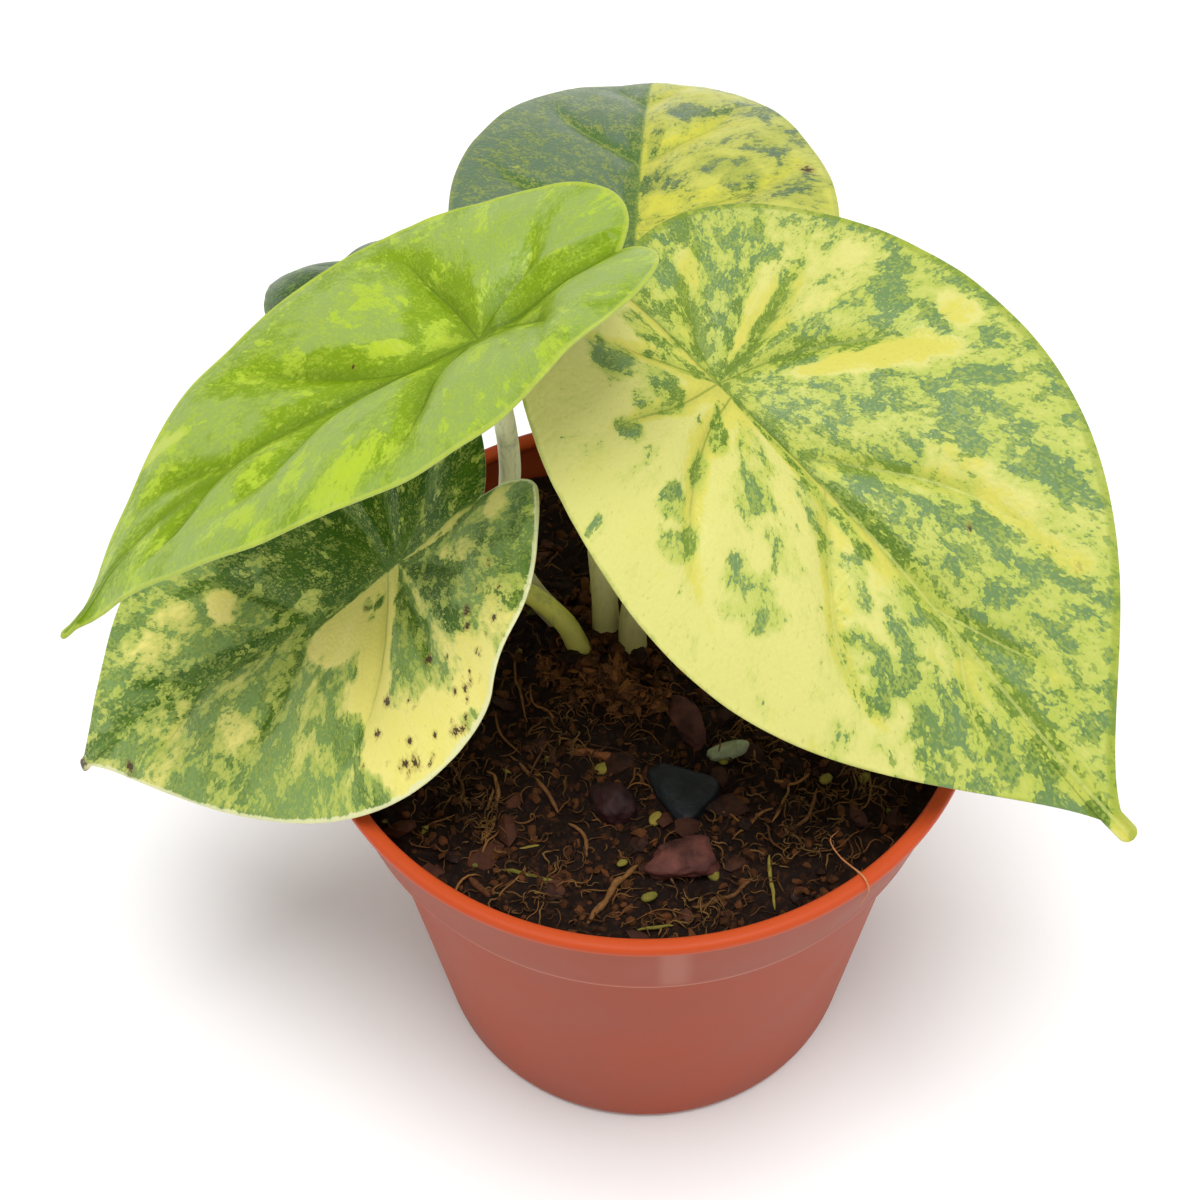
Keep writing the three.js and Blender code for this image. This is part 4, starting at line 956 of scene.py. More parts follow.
def scatter(count, rng, reach, spots):
    """Seeded places all over the mix, or gathered round spots, given as x, y and spread."""
    if spots is None:
        radius = reach * np.sqrt(rng.uniform(0, 1, count))
        angle = rng.uniform(0, 2 * np.pi, count)
        return radius * np.cos(angle), radius * np.sin(angle)
    x, y, spread = np.array(spots)[np.arange(count) % len(spots)].T
    return x + spread * rng.normal(0, 1, count), y + spread * rng.normal(0, 1, count)


def make_crumbs(name, count, size, flat, seed, material, lift=0.3, reach=54.0, spots=None, heap=0.0):
    """Many small lumps lying on the mix: each one of four shapes, scaled, turned and set in a little.
    Heaped lumps lie at any height up to heap above it."""
    rng = np.random.default_rng(seed)
    x, y = scatter(count, rng, reach, spots)
    scale = rng.uniform(size[0], size[1], count) * rng.uniform(0.7, 1, count)
    ratio = [rng.uniform(1.0, 1.9, count), np.ones(count), rng.uniform(flat[0], flat[1], count)]
    ratio = np.stack(ratio, -1)
    turn = [rng.normal(0, 0.35, count), rng.normal(0, 0.35, count), rng.uniform(0, 6.3, count)]
    turn = turns(np.stack(turn, -1))
    z = ground(x, y) + lift * scale * ratio[:, 2] + heap * rng.uniform(0, 1, count) ** 2
    points, faces, tone = [], [], []
    for kind in range(4):
        shape, small = blob_shape(seed * 10 + kind)
        mine = np.arange(count) % 4 == kind
        body = shape[None] * (scale[mine, None, None] * ratio[mine, None, :])
        body = np.einsum("nij,nvj->nvi", turn[mine], body) + np.stack([x, y, z], -1)[mine, None, :]
        start = sum(len(p) for p in points)
        shift = (np.arange(mine.sum()) * len(shape))[:, None, None] + start
        faces.append((small[None] + shift).reshape(-1, 3))
        points.append(body.reshape(-1, 3))
        tone.append(np.repeat(rng.uniform(0, 1, mine.sum()), len(shape)))
    add_piece(name, np.concatenate(points), faces, material, attributes={"tone": np.concatenate(tone)},
              smooth=False)


def tube_mesh(paths, radii, sides):
    """Tubes along many paths at once: at each point a ring across the path, closed by end faces."""
    count, steps = paths.shape[:2]
    tangent = normalized(np.gradient(paths, axis=1))
    aside = normalized(np.cross(tangent, [0.13, 0.31, 0.94]))
    other = np.cross(tangent, aside)
    angle = circle(sides)
    ring = aside[:, :, None] * np.cos(angle)[:, None] + other[:, :, None] * np.sin(angle)[:, None]
    points = paths[:, :, None] + ring * radii[:, :, None, None]
    base = grid_faces(steps, sides)
    shift = np.arange(count)[:, None, None] * steps * sides
    walls = (base[None] + shift).reshape(-1, 4)
    ends = np.stack([np.arange(sides)[::-1], np.arange(sides) + (steps - 1) * sides])
    return points.reshape(-1, 3), [walls, (ends[None] + shift).reshape(-1, sides)]


def make_fibres(name, count, length, radius, seed, material, steps=11, sides=5, curl=1.1, rise=1.5,
                reach=53.0, spots=None, heap=0.0):
    """Thin curved fibres that lie on the mix: each bends by its own amount and rises a little between
    its ends."""
    rng = np.random.default_rng(seed)
    x, y = scatter(count, rng, reach, spots)
    heading = rng.uniform(0, 2 * np.pi, count)
    bend = rng.normal(0, curl, count)
    wiggle = rng.normal(0, 0.5, (count, 2))
    t = np.linspace(-0.5, 0.5, steps)
    turn = heading[:, None] + bend[:, None] * t
    turn = turn + wiggle[:, :1] * np.sin(t * 9) + wiggle[:, 1:] * np.cos(t * 6)
    span = rng.uniform(length[0], length[1], count)[:, None] / (steps - 1)
    px = x[:, None] + np.cumsum(np.cos(turn) * span, 1)
    py = y[:, None] + np.cumsum(np.sin(turn) * span, 1)
    out = np.maximum(1, np.hypot(px, py) / MIX_REACH)
    px, py = px / out, py / out
    arch = rng.uniform(0, rise, count)[:, None] * (0.25 - t ** 2) * 4
    pz = ground(px, py)
    pz = (pz + np.roll(pz, 1, 1) + np.roll(pz, -1, 1)) / 3
    pz[:, [0, -1]] = ground(px, py)[:, [0, -1]]
    paths = np.stack([px, py, pz + 0.2 + arch + heap * rng.uniform(0, 1, count)[:, None] ** 2], -1)
    thick = rng.uniform(radius[0], radius[1], count)[:, None] * (1 - 0.75 * np.abs(t * 2) ** 3)
    points, faces = tube_mesh(paths, thick, sides)
    tone = np.repeat(rng.uniform(0, 1, count), steps * sides)
    add_piece(name, points, faces, material, attributes={"tone": tone})


# Single roots, sticks and straws: tone, radius, lift above the mix and the points passed over
ROOTS = [
    (0.95, 0.36, 0.7, [(29.5, -18.8), (25.9, -20.8), (23.1, -20.7)]),
    (0.9, 0.3, 0.8, [(25.6, -20.9), (24.4, -24.5), (22.1, -29.2)]),
    (0.75, 0.3, 0.6, [(15.4, -32.6), (19.6, -27.8), (22.8, -25.8)]),
    (0.85, 0.42, 0.6, [(-28.1, -18.1), (-25.7, -21.1), (-26.8, -31.8), (-30, -34.2)]),
    (0.8, 0.34, 0.6, [(-26.6, -21.7), (-27.5, -30), (-26.7, -39.2)]),
    (0.45, 0.45, 0.5, [(-23.8, -15), (-19.9, -19.2), (-15.9, -25.1), (-14.8, -26.9)]),
    (0.5, 0.42, 0.5, [(-13, -29.5), (-10.3, -32.2), (-9.9, -36.6)]),
    (0.5, 0.3, 0.9, [(-23.1, 8.2), (-23.5, 2.8), (-20.8, -7.9)]),
    (0.6, 0.75, 0.4, [(-9.8, -48.8), (-5.4, -42.3), (-1.2, -37.4)]),
    (0.4, 0.4, 0.6, [(30.5, -22), (29, -27), (25, -31)]),
    (0.35, 0.4, 0.6, [(-38, -14), (-33, -19), (-31, -26)]),
    (0.3, 0.5, 0.5, [(8, -46), (14, -44), (19, -40)]),
]
STICKS = [
    (0.8, 0.95, 0.5, [(-12.9, -15.2), (-8.5, -15.0), (-3.9, -15.9)]),
    (0.3, 0.9, 0.4, [(-30, -40), (-26, -44)]),
    (0.4, 0.8, 0.4, [(36, -25), (38, -30)]),
    (0.5, 0.7, 0.4, [(2.5, -5.0), (6.5, -2.6)]),
]
STRAWS = [
    (0.8, 0.42, 0.8, [(21.7, -35.6), (21.6, -41), (22.1, -47.4)]),
    (0.45, 0.55, 0.6, [(-24.2, -38.8), (-20, -40.2), (-15.5, -40.7)]),
    (0.9, 0.3, 0.7, [(-21.5, -33.8), (-17.8, -33.6)]),
    (0.5, 0.4, 0.6, [(-24.5, -29), (-23.4, -31.5)]),
    (0.55, 0.35, 0.6, [(-1, -50.5), (5, -50)]),
]
# Thin root that hangs over the rim, with points of x, y, z
RIM_ROOT = [(0.9, 0.2, 0, [
    (33.5, -31.8, 88.6), (31.9, -34.6, 90.0), (33.2, -39.5, 92.4), (36.0, -45.0, 95.9),
    (36.9, -47.1, 96.5), (37.3, -47.8, 95.3), (37.0, -47.4, 92.6), (36.4, -46.6, 88.6)])]
# Tangles of moss, and clumps of old sheath in front of the crown: x, y and spread
TANGLES = [(30, -24, 4.5), (25, -33, 4.5), (37, -18, 4), (-27, -28, 3.5), (-34, -22, 4), (-20, -43, 4),
           (9, -45, 4), (20, -12, 4), (-14, -12, 3.5)]
CLUMPS = [(-9.3, -1.7, 1.5), (-5.6, -2.2, 1.7), (-2.1, -3.8, 1.3), (-8.6, 0.5, 1.2), (-13.2, 0.2, 1.5),
          (-16.8, 2.6, 1.1), (2.4, -4.9, 1.3), (-5.2, 0.8, 1.0)]
# Seeds and flakes: x, y, half length, half width, turn in degrees, tone
SEEDS = [
    (2.1, -28.6, 1.6, 1.15, 60, 0.95), (-6.9, -17.8, 2.0, 1.3, 10, 0.75), (-3.7, -37.4, 1.0, 0.7, 30, 0.6),
    (0.9, -44.7, 1.5, 0.9, 20, 0.35), (32.1, -19.9, 1.3, 1.0, 40, 0.55), (38.8, -19.9, 1.3, 1.0, 70, 0.5),
    (11.8, -39.2, 1.1, 1.9, 15, 0.45), (-2.2, -4.2, 0.8, 0.7, 0, 0.6), (14.1, -16.6, 0.9, 0.7, 0, 0.4),
]


def make_strands(name, strands, material):
    """Single roots or sticks: each a slightly knotty tube over the mix, thinner towards its ends."""
    steps, sides = 28, 8
    paths, radii, tones = [], [], []
    t = np.linspace(-1, 1, steps)
    for tone, radius, lift, points in strands:
        line = through_points(points, steps)
        place = np.column_stack([line[:, :2], np.full(steps, radius)])
        if line.shape[1] == 2:
            line = line + 0.35 * np.stack([smooth_noise(place, 2.3, 61), smooth_noise(place, 2.3, 62)], -1)
            line = np.column_stack([line, mix_level(line[:, 0], line[:, 1]) + lift])
        paths.append(line)
        radii.append(radius * (0.8 + 0.3 * smooth_noise(place, 1.1, 63)) * (1 - 0.7 * np.abs(t) ** 4))
        tones.append(np.full(steps * sides, tone))
    points, faces = tube_mesh(np.array(paths), np.array(radii), sides)
    add_piece(name, points, faces, material, attributes={"tone": np.concatenate(tones)})


def make_seeds(name, material):
    """Seeds and flakes: flattened ellipsoids, half sunk in the mix."""
    rows, columns = 9, 14
    shape = ball(rows, columns)
    points, faces, tones = [], [], []
    for x, y, long, wide, turn, tone in SEEDS:
        body = (shape * [long, wide, 0.6 * wide]) @ spin(turn)
        body = body * (1 + 0.12 * smooth_noise(body + x, 0.9, 65))[:, None]
        faces += closed_faces(rows, columns, len(points) * len(shape))
        points.append(body + [x, y, mix_level(x, y) + 0.9])
        tones.append(np.full(len(shape), tone))
    tones = {"tone": np.concatenate(tones)}
    add_piece(name, np.concatenate(points), faces, material, attributes=tones)


def litter_material(name, dark, light, grain_mm, gloss):
    """Loose bits of the mix: bark, peat or coir, each piece its own tone between dark and light, with
    fibrous grain, matt and slightly damp."""
    material, add = new_material(name)
    place, tone = add("Place"), add("Field", attribute_name="tone")
    grain = add("TexNoise", {"Vector": place, "Scale": 1000 / grain_mm, "Detail": 3, "Roughness": 0.65})
    mixed = add("Plus", add("TimesPlus", grain, 1.3, -0.65), tone, use_clamp=True)
    bump = add("Bump", {"Strength": 0.6, "Distance": 0.3 * MM, "Height": grain})
    skin = add("BsdfPrincipled", {
        "Base Color": add("Blend", mixed, linear(dark), linear(light)), "Roughness": gloss, "Normal": bump,
        "Specular IOR Level": 0.2})
    add("OutputMaterial", skin)
    return material


# Stalks, crown and loose chips

STALKS = {
    "right": dict(stand=(-2, 6.8), radii=(2.7, 2.0),
                  route=[(-1.8, 7.4, 100), (0.6, 8.4, 113), (5, 10.5, 131)]),
    "back": dict(stand=(-6.8, 10), radii=(2.6, 1.9),
                 route=[(-7, 10.8, 100), (-8, 16.8, 112), (-6.4, 36, 127)]),
    "left_lower": dict(stand=(-11, 5.2), radii=(2.2, 1.7),
                       route=[(-14.3, 6.8, 98), (-20.5, 7.8, 105), (-31, 5.6, 113)]),
    "left_upper": dict(stand=(-13.8, 11.6), radii=(2.3, 1.75),
                       route=[(-20, 13.6, 98.3), (-24, 15.4, 108.5), (-22.8, 14.4, 133)]),
    "rear_left": dict(stand=(-8, 16.6), radii=(2.0, 1.4),
                      route=[(-8.2, 20.6, 99), (-11.5, 29, 110.5), (-22, 44, 123)]),
}
# Gap between the crown and the stalks, and length of a stalk's neck under its blade
GAP = 0.3
NECK_LENGTH = 4
STALK_TOP = CROWN["top"] + GAP
# Crumbs heaped round each stalk's foot, and over the crown between them: x, y and spread
FEET = [(stalk["stand"][0] + (stalk["radii"][0] + GAP) * math.cos(turn),
         stalk["stand"][1] + (stalk["radii"][0] + GAP) * math.sin(turn), 0.35)
        for stalk in STALKS.values() for turn in circle(12)]
FEET += [(CROWN["x"] + 3, CROWN["y"] + 2, 5)] * 12


def centripetal(points, count):
    """A smooth line through points: Catmull-Rom with knots spaced by the root of each gap, sampled at
    even lengths."""
    p = np.asarray(points, float)
    p = np.concatenate([[2 * p[0] - p[1]], p, [2 * p[-1] - p[-2]]])
    gap = np.linalg.norm(np.diff(p, axis=0), axis=1) ** 0.5
    lines = []
    t = np.linspace(0, 1, 60)[:, None]
    for k in range(1, len(p) - 2):
        a, b, c, d = p[k - 1:k + 3]
        g0, g1, g2 = gap[k - 1:k + 2]
        start = ((b - a) / g0 - (c - a) / (g0 + g1) + (c - b) / g1) * g1
        end = ((c - b) / g1 - (d - b) / (g1 + g2) + (d - c) / g2) * g1
        lines.append(b + start * t + (3 * (c - b) - 2 * start - end) * t ** 2
                     + (2 * (b - c) + start + end) * t ** 3)
    line = np.concatenate([lines[0][:1]] + [part[1:] for part in lines])
    run = np.concatenate([[0], np.cumsum(np.linalg.norm(np.diff(line, axis=0), axis=1))])
    at = np.linspace(0, run[-1], count)
    return np.stack([np.interp(at, run, line[:, k]) for k in range(3)], -1)


def make_stalk(name, material):
    """A stalk carried along its route, slightly channelled on its upper side, with a sheath that swells
    its foot."""
    stalk, leaf = STALKS[name], BLADES[name]
    zero = np.zeros(1)
    up = blade_normals(leaf, zero, zero)[0]
    end = np.array(leaf["foot"]) - up * (BLADE_MIDDLE / 2 + MIDRIB_DEPTH * 0.5)
    route = [np.array([*stalk["stand"], STALK_TOP])] + [np.array(p, float) for p in stalk["route"]]
    reach = normalized(end - route[-1])
    neck = end - normalized(up + reach) * NECK_LENGTH
    steps, sides = 90, 28
    line = centripetal(route + [neck, end], steps)
    line[0] -= [0, 0, 1.2]
    t = np.linspace(0, 1, steps)
    tangent = normalized(np.gradient(line, axis=0))
    aside = normalized(np.cross([0.0, 1.0, 0.0], tangent))
    other = np.cross(tangent, aside)
    foot, tip = stalk["radii"]
    sheath = np.maximum(0, 1 - t / 0.3) ** 1.5
    radius = tip + (foot - tip) * (0.5 * (1 - t) + 0.5 * sheath)
    angle = circle(sides)
    # a shallow channel on one side, and a slight swelling where the blade joins
    channel = 1 - 0.1 * np.exp(-((angle - np.pi / 2) / 0.5) ** 2)
    swell = 1 + 0.12 * smoothstep(0.93, 1, t)
    ripple = 1 + 0.02 * smooth_noise(np.stack(np.meshgrid(t * 9, np.cos(angle) * 2, indexing="ij")
                                              + [np.tile(np.sin(angle) * 2, (steps, 1))], -1), 1.0, 31)
    size = radius[:, None] * swell[:, None] * channel * ripple
    ring = aside[:, None] * np.cos(angle)[:, None] + other[:, None] * np.sin(angle)[:, None]
    points = np.concatenate([(line[:, None] + ring * size[..., None]).reshape(-1, 3), line[:1], line[-1:]])
    faces = closed_faces(steps, sides)
    along = np.concatenate([np.repeat(t, sides), [0, 1]])
    uv = np.column_stack([np.concatenate([np.tile(np.arange(sides) / sides, steps), [0, 0]]), along])
    add_piece(f"{name}_stalk", points, faces, material, [f"petiole_{name}"], uv,
              {"along": along})


def stalk_material(name, foot, middle, top):
    """A fresh leaf stalk: juicy and pale, darker towards the foot as painted shade near the crown, and
    paler above as painted light against the blades' shadow, with fine lengthwise streaks and a soft gloss."""
    material, add = new_material(name)
    along, place = add("Field", attribute_name="along"), add("Place")
    # per metre: streaks 0.7 mm wide and 6 mm long, and blotches of 4 mm
    long_way = add("Mapping", {0: place, 3: (1400, 1400, 160)})
    streak = add("TexNoise", {"Vector": long_way, "Scale": 1.0, "Detail": 4})
    blotch = add("TexNoise", {"Vector": place, "Scale": 260, "Detail": 3})
    # painted shade at the darker foot, and painted light in the pale middle and top against the blades'
    # shadow
    color = add("Blend", add("Step", along, 0.02, 0.35), linear(foot), linear(middle))
    for factor, layer in ((add("Step", along, 0.5, 1.0), top),
                          (add("Range", streak, 0.5, 0.75, 0.0, 0.5), "93a066"),
                          (add("Range", blotch, 0.58, 0.75, 0.0, 0.4), "8b8f58")):
        color = add("Blend", factor, color, linear(layer))
    bump = add("Bump", {"Strength": 0.2, "Distance": 0.1 * MM, "Height": streak})
    skin = add("BsdfPrincipled", {
        "Base Color": color, "Roughness": 0.42, "Normal": bump, "IOR": 1.42, "Subsurface Weight": 0.15,
        "Subsurface Radius": (1.0, 1.0, 0.5), "Subsurface Scale": 2 * MM})
    add("OutputMaterial", skin)
    return material


CROWN_PROFILE = [(3.0, 71.8), (8.5, 76), (11.4, 80.5), (12.2, 85.6), (11.9, 88.2), (10.4, 89.4), (7, 89.9),
                 (0.4, 90.1)]


def make_crown(material):
    """The crown: a knob turned about its own axis from a profile of radius and height, made lumpy and
    fibrous by noise."""
    sides = 96
    profile = refine_profile(CROWN_PROFILE, 0.9)
    angle = circle(sides)
    ring = np.stack([np.cos(angle), np.sin(angle), np.zeros(sides)], -1)
    points = profile[:, None, :1] * ring + profile[:, None, 1:] * [0, 0, 1]
    bumps = smooth_noise(points * [1, 1, 0.5], 2.4, 41) * 0.5 + smooth_noise(points, 1.1, 42) * 0.3
    points = points + ring * bumps[..., None] * 0.8 + np.abs(bumps[..., None]) * [0, 0, 0.6]
    points = points.reshape(-1, 3) + [CROWN["x"], CROWN["y"], 0]
    ends = [np.append(points[:sides].mean(0)[:2], CROWN_PROFILE[0][1]), points[-sides:].mean(0)]
    points = np.concatenate([points, ends])
    faces = closed_faces(len(profile), sides)
    tone = 0.3 + 0.3 * smooth_noise(points, 3, 43)
    add_piece("crown_knob", points, faces, material, ["crown"], attributes={"tone": tone})


def make_scraps(material):
    """Papery scraps of old sheaths round the crown: narrow curling ribbons, given a thickness by a
    Solidify modifier."""
    rng = np.random.default_rng(5)
    count, rows, columns = 40, 9, 5
    around = rng.uniform(0, 2 * np.pi, count)
    start, height, width, lean, curl = (
        rng.uniform(low, high, count)[:, None, None]
        for low, high in ((7.0, 12.5), (2.5, 7.0), (1.6, 4.2), (0.1, 1.2), (-0.8, 1.6)))
    t = np.linspace(0, 1, rows)[None, :, None]
    s = np.linspace(-1, 1, columns)[None, None, :]
    a = around[:, None, None] + rng.normal(0, 0.25, count)[:, None, None] * t
    tilt = lean + curl * t
    ragged = 1 + 0.25 * rng.uniform(-1, 1, (count, rows, columns))
    out = start + height * t * np.sin(tilt) * ragged - 0.3 * s ** 2 * width
    rise = height * t * np.cos(tilt) * ragged
    slide = s * width * 0.5 * (1 - 0.55 * t ** 2) * ragged
    x = CROWN["x"] + out * np.cos(a) - slide * np.sin(a)
    y = CROWN["y"] + out * np.sin(a) + slide * np.cos(a)
    z = CROWN["top"] - 2.2 + rise
    points = np.stack([x, y, z], -1).reshape(-1, 3)
    base = grid_faces(rows, columns, wrap=False)
    faces = (base[None] + (np.arange(count) * rows * columns)[:, None, None]).reshape(-1, 4)
    tone = np.repeat(rng.uniform(0.2, 1, count), rows * columns)
    piece = add_piece("sheath_scraps", points, [faces], material, attributes={"tone": tone})
    shell = piece.modifiers.new("thickness", "SOLIDIFY")
    shell.thickness = 0.25 * MM
    shell.offset = 0


# Loose chips by piece: the nodes that they replace, which the long bark chip has none of, place (x, y),
# height of the middle above the mix, half sizes, turn about Z, how square and rough they are, how much
# narrower one end is, seed, material and slot
CHIPS = {
    "slate_stone": dict(
        replaces=["stone_chip"], at=(6.2, -23), lift=0.9, half=(6.2, 4.2, 2.6), turn=-43,
        squareness=0.6, rough=0.14, wedge=0.5, seed=51, litter="grey_slate", slot="stone"),
    "red_bark": dict(
        replaces=["bark_chip_1"], at=(6.9, -36.8), lift=0.7, half=(6.2, 4.0, 2.2), turn=8,
        squareness=0.7, rough=0.3, wedge=0.3, seed=52, litter="red_pine_bark", slot="bark"),
    "dark_bark": dict(
        replaces=["bark_chip_2"], at=(-5.2, -25.4), lift=0.6, half=(3.7, 4.2, 2.7), turn=20,
        squareness=0.85, rough=0.22, wedge=0, seed=53, litter="dark_pine_bark", slot="bark"),
    "long_bark": dict(
        replaces=[], at=(8.0, -8.8), lift=0.8, half=(5.8, 2.7, 1.7), turn=-67,
        squareness=0.8, rough=0.22, wedge=-0.3, seed=55, litter="long_pine_bark", slot="bark"),
    "pale_wood_sliver": dict(
        replaces=["pale_chip"], at=(14.9, -14.5), lift=0.8, half=(3.9, 1.5, 1.3), turn=20,
        squareness=0.75, rough=0.12, wedge=0, seed=54, litter="bleached_wood", slot="pale_wood"),
}


def make_chip(name, chip, material):
    """A loose chip: a superellipsoid worn by noise at two sizes, narrower towards one end if it is a
    wedge."""
    rows, columns = 40, 64
    shape = ball(rows, columns, chip["squareness"])
    rough, seed = chip["rough"], chip["seed"]
    worn = rough * smooth_noise(shape + seed, 0.9, seed)
    shape *= 1 + worn[:, None] + 0.35 * rough * smooth_noise(shape + seed, 0.3, seed + 1)[:, None]
    shape[:, 1] *= 1 + chip["wedge"] * shape[:, 0]
    points = (shape * np.array(chip["half"])) @ spin(chip["turn"])
    x, y = chip["at"]
    points += [x, y, mix_level(x, y) + chip["lift"]]
    tone = 0.5 + 0.4 * smooth_noise(points, 2.5, seed)
    add_piece(name, points, closed_faces(rows, columns), material, chip["replaces"],
              attributes={"tone": tone})


# Stage: floor and light

def aim(item, place, target):
    """Puts an item at a place so that it looks at a target."""
    away = normalized(np.array(place, float) - target)
    right = normalized(np.cross([0, 0, 1], away))
    matrix = np.eye(4)
    matrix[:3, :3] = np.column_stack([right, np.cross(away, right), away])
    matrix[:3, 3] = place
    item.matrix_world = Matrix(matrix.tolist())
    bpy.context.scene.collection.objects.link(item)


# Places of the lights and the point that they face, in metres, and their strengths and sizes
KEY_PLACE, KEY_STRENGTH, KEY_ANGLE = (0.0, -0.12, 1.2), 2.15, 32
SOFTBOX_PLACE, SOFTBOX_POWER, SOFTBOX_SIZE = (0.8, -0.2, 0.8), 1.2, 0.6
LIT_POINT = (0, 0, 0.1)
SKY_STRENGTH = 0.57
# The ground under the pot, in metres: half its width, and its level just under the pot's foot
GROUND_HALF = 6
GROUND_LEVEL = -0.0003


def make_stage():
    """A wide pale floor, a very soft light nearly overhead, a weak softbox on the right for gloss, and
    even light from all around."""
    material, add = new_material("pale_floor_paint")
    add("OutputMaterial", add("BsdfPrincipled", {
        "Base Color": linear("fbfbfa"), "Roughness": 0.85, "Specular IOR Level": 0.2}))
    mesh = bpy.data.meshes.new("floor")
    square = ((-1, -1), (1, -1), (1, 1), (-1, 1))
    corners = [(x * GROUND_HALF, y * GROUND_HALF, GROUND_LEVEL) for x, y in square]
    mesh.from_pydata(corners, [], [(0, 1, 2, 3)])
    mesh.materials.append(material)
    floor = bpy.data.objects.new("floor", mesh)
    bpy.context.scene.collection.objects.link(floor)
    sun = bpy.data.lights.new("key", "SUN")
    sun.angle = math.radians(KEY_ANGLE)
    sun.energy = KEY_STRENGTH
    aim(bpy.data.objects.new("key", sun), KEY_PLACE, LIT_POINT)
    softbox = bpy.data.lights.new("softbox", "AREA")
    softbox.size = SOFTBOX_SIZE
    softbox.energy = SOFTBOX_POWER
    aim(bpy.data.objects.new("softbox", softbox), SOFTBOX_PLACE, LIT_POINT)
    world = bpy.data.worlds.new("studio")
    world.use_nodes = True
    sky = world.node_tree.nodes["Background"]
    sky.inputs["Color"].default_value = (1, 1, 1, 1)
    sky.inputs["Strength"].default_value = SKY_STRENGTH
    bpy.context.scene.world = world
    bpy.context.scene.view_settings.view_transform = "Standard"


# Looks. Litter: dark and light colour, grain in mm and roughness; the darker and rougher a bit is, the
# damper and more rotted it looks

LITTER = {
    "damp_peat_and_bark_fines": ("160904", "5a3418", 1.3, 0.9),
    "composted_pine_bark": ("1e0e09", "502c1c", 1.8, 0.75),
    "brown_peat_moss": ("2a170b", "6e4a26", 0.8, 0.9),
    "tan_peat_moss": ("3c2412", "7a5a30", 0.8, 0.9),
    "coconut_coir": ("3a2010", "8a5c2e", 1.2, 0.75),
    "dry_roots": ("3a2210", "8c6034", 0.8, 0.85),
    "fresh_root": ("8a4c24", "d08a58", 1.0, 0.6),
    "orange_bark": ("341a0e", "7c4a28", 1.0, 0.8),
    "dry_straw_bits": ("48501a", "8e7c34", 1.0, 0.8),
    "fibrous_crown": ("1a0d07", "4a2e1a", 1.6, 0.8),
    "rotted_old_sheath": ("2c180c", "7c4e28", 0.7, 0.85),
    "grey_slate": ("0b0c0f", "1f2126", 1.5, 0.5),
    "red_pine_bark": ("2e1410", "6a3c34", 2.0, 0.7),
    "dark_pine_bark": ("1a0a0b", "361c1c", 2.0, 0.6),
    "long_pine_bark": ("2c120e", "5c342c", 2.0, 0.7),
    "bleached_wood": ("6f7558", "a5ab88", 1.0, 0.7),
}
# Stalk skins: the stalks that have it, and its colour at the foot, in the middle and at the top; the
# darker foot is painted shade near the crown, and the middle and top are made paler as painted light
# against the shadow of the blades
STALK_SKINS = {
    "pale_green_petiole": (("right", "back"), "b0a868", "e6e2a0", "e2e2a2"),
    "whitish_petiole": (("left_upper",), "b8b078", "f0f0c4", "f2f2c2"),
    "green_petiole": (("left_lower", "rear_left"), "b8b058", "dcda66", "c4cc62"),
}
# Leaves: the slot, and then what leaf_material asks for
LEAF_LOOKS = {
    "right": ("leaf_yellow", ["cfc95c", "d3d07a", "adbb50", "728a30", "6e8a55", "4e6f25"],
              ("c6cc72", 0.5, "5c7618", 0.2), ("7d9111", 0.5, 1.6), 1.0, 3.8),
    "left_upper": ("leaf_lime", ["b4c92c", "bccb58", "a9c232", "7c9a08", "93ab50", "6f8e04"],
                   ("729004", 0.6, "567204", 0.5), ("b6c547", 0.6, 0.7), 2.2, 5.5),
    "left_lower": ("leaf_mottled", ["ece179", "eee382", "a9b951", "4d7004", "7e9b52", "2b5400"],
                   ("7c9947", 0.35, "6a8c3c", 0.15), ("e4e4b0", 0.85, 0.6), 1.0, 3.2),
    "back": ("leaf_half_yellow", ["ccc848", "c6c65c", "9ea746", "4a6a32", "5f7558", "466338"],
             ("a4b04c", 0.4, "7d9430", 0.1), ("929c58", 0.3, 0.8), 1.8, 5.5),
    "rear_left": ("leaf_green", ["cfcf6a", "cfcf84", "7a9a3a", "34561a", "486e28", "264212"],
                  ("5e7a28", 0.4, "4c6a20", 0.15), ("5e7a28", 0.4, 0.8), 1.0, 4.6),
}


# Everything, piece by piece

make_camera()
make_pot(pot_material())

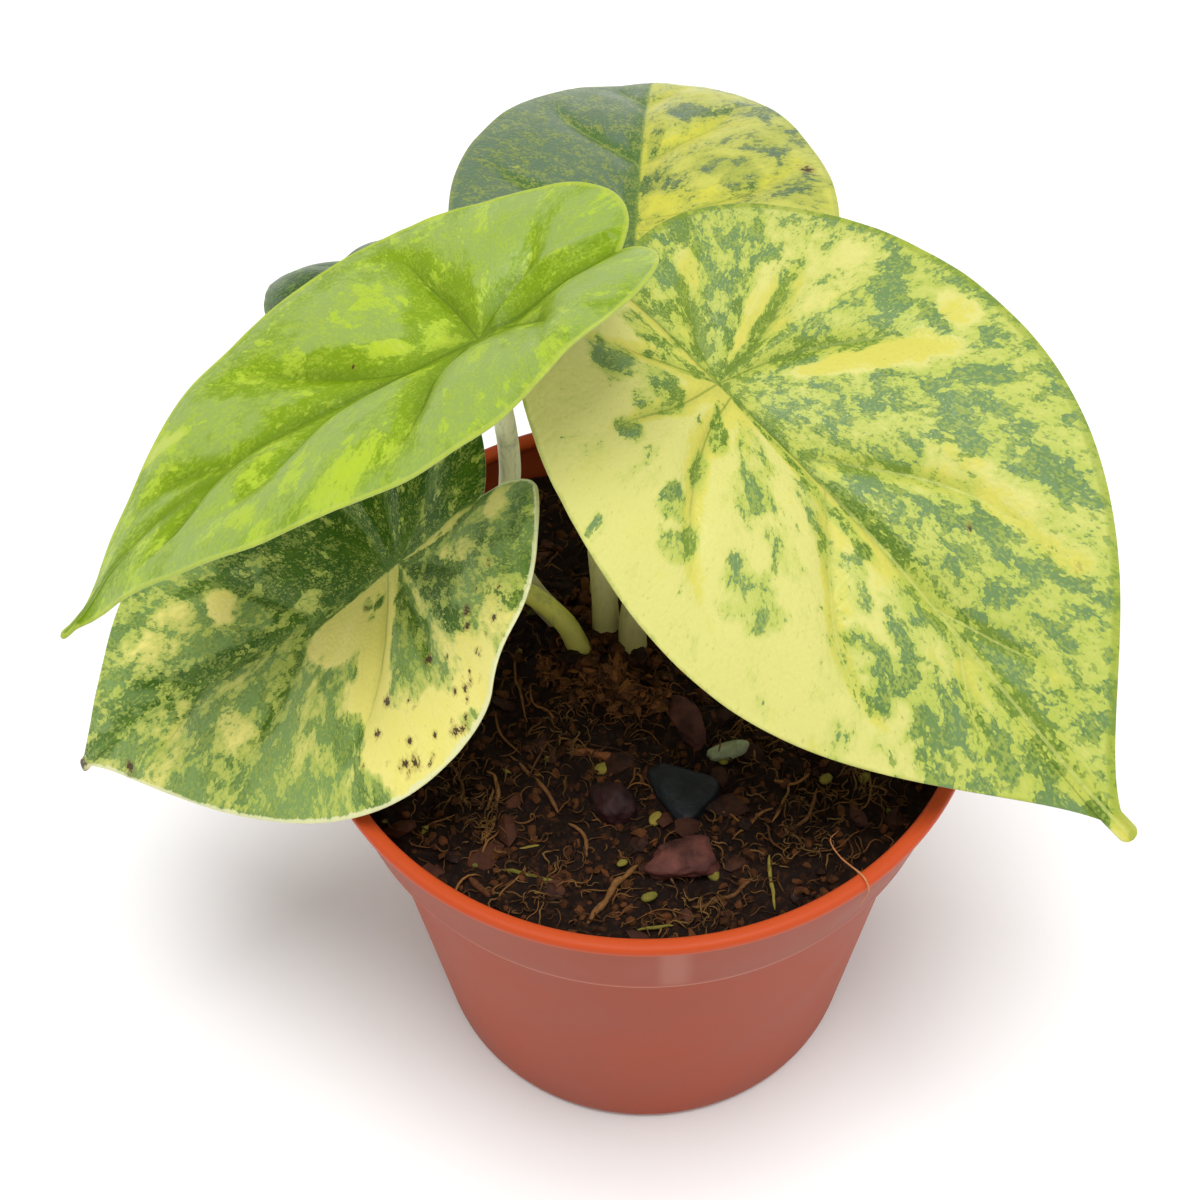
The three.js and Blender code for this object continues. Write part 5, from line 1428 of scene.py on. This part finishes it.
litter = {name: litter_material(name, *look) for name, look in LITTER.items()}
peat, straw, sheath = (litter[name] for name in (
    "damp_peat_and_bark_fines", "dry_straw_bits", "rotted_old_sheath"))
make_mix(peat)
make_crumbs("peat_crumbs", 1500, (0.4, 1.0), (0.6, 1.0), 3, peat)
make_crumbs("bark_crumbs", 80, (1.1, 2.6), (0.35, 0.7), 4, litter["composted_pine_bark"], lift=0.1)
make_fibres("peat_fibres", 1300, (1.6, 5.5), (0.07, 0.2), 5, litter["brown_peat_moss"],
            steps=7, sides=4, curl=1.5, rise=1.0)
make_fibres("coir_fibres", 110, (4, 13), (0.08, 0.26), 6, litter["coconut_coir"])
make_fibres("moss_tangles", 420, (1.6, 5.0), (0.08, 0.2), 9, litter["tan_peat_moss"],
            steps=7, sides=4, curl=2.0, rise=1.4, spots=TANGLES, heap=0.8)
make_strands("dry_roots", ROOTS, litter["dry_roots"])
make_strands("rim_root", RIM_ROOT, litter["fresh_root"])
make_strands("bark_sticks", STICKS, litter["orange_bark"])
make_strands("straws", STRAWS, straw)
make_seeds("seeds", straw)
make_crumbs("straw_bits", 16, (0.5, 0.9), (0.5, 0.9), 8, straw, lift=0.7)

make_crown(litter["fibrous_crown"])
make_scraps(sheath)
make_crumbs("sheath_flakes", 200, (0.45, 1.3), (0.3, 0.7), 71, sheath, spots=CLUMPS, heap=2.2)
make_fibres("sheath_fibres", 260, (1.6, 4.5), (0.1, 0.26), 72, sheath,
            steps=7, sides=4, curl=2.4, rise=1.6, spots=CLUMPS, heap=1.6)
make_crumbs("foot_crumbs", 460, (0.6, 1.5), (0.6, 1.0), 73, peat, lift=0.6, spots=FEET,
            heap=2.4)
for chip_name, chip in CHIPS.items():
    make_chip(chip_name, chip, litter[chip["litter"]])

for skin_name, (stalk_names, *skin_colors) in STALK_SKINS.items():
    stalk_skin = stalk_material(skin_name, *skin_colors)
    for stalk_name in stalk_names:
        make_stalk(stalk_name, stalk_skin)
for leaf_name, (leaf_slot, *leaf_look) in LEAF_LOOKS.items():
    make_blade(leaf_name, leaf_material(f"{leaf_name}_alocasia_leaf", *leaf_look))

make_stage()
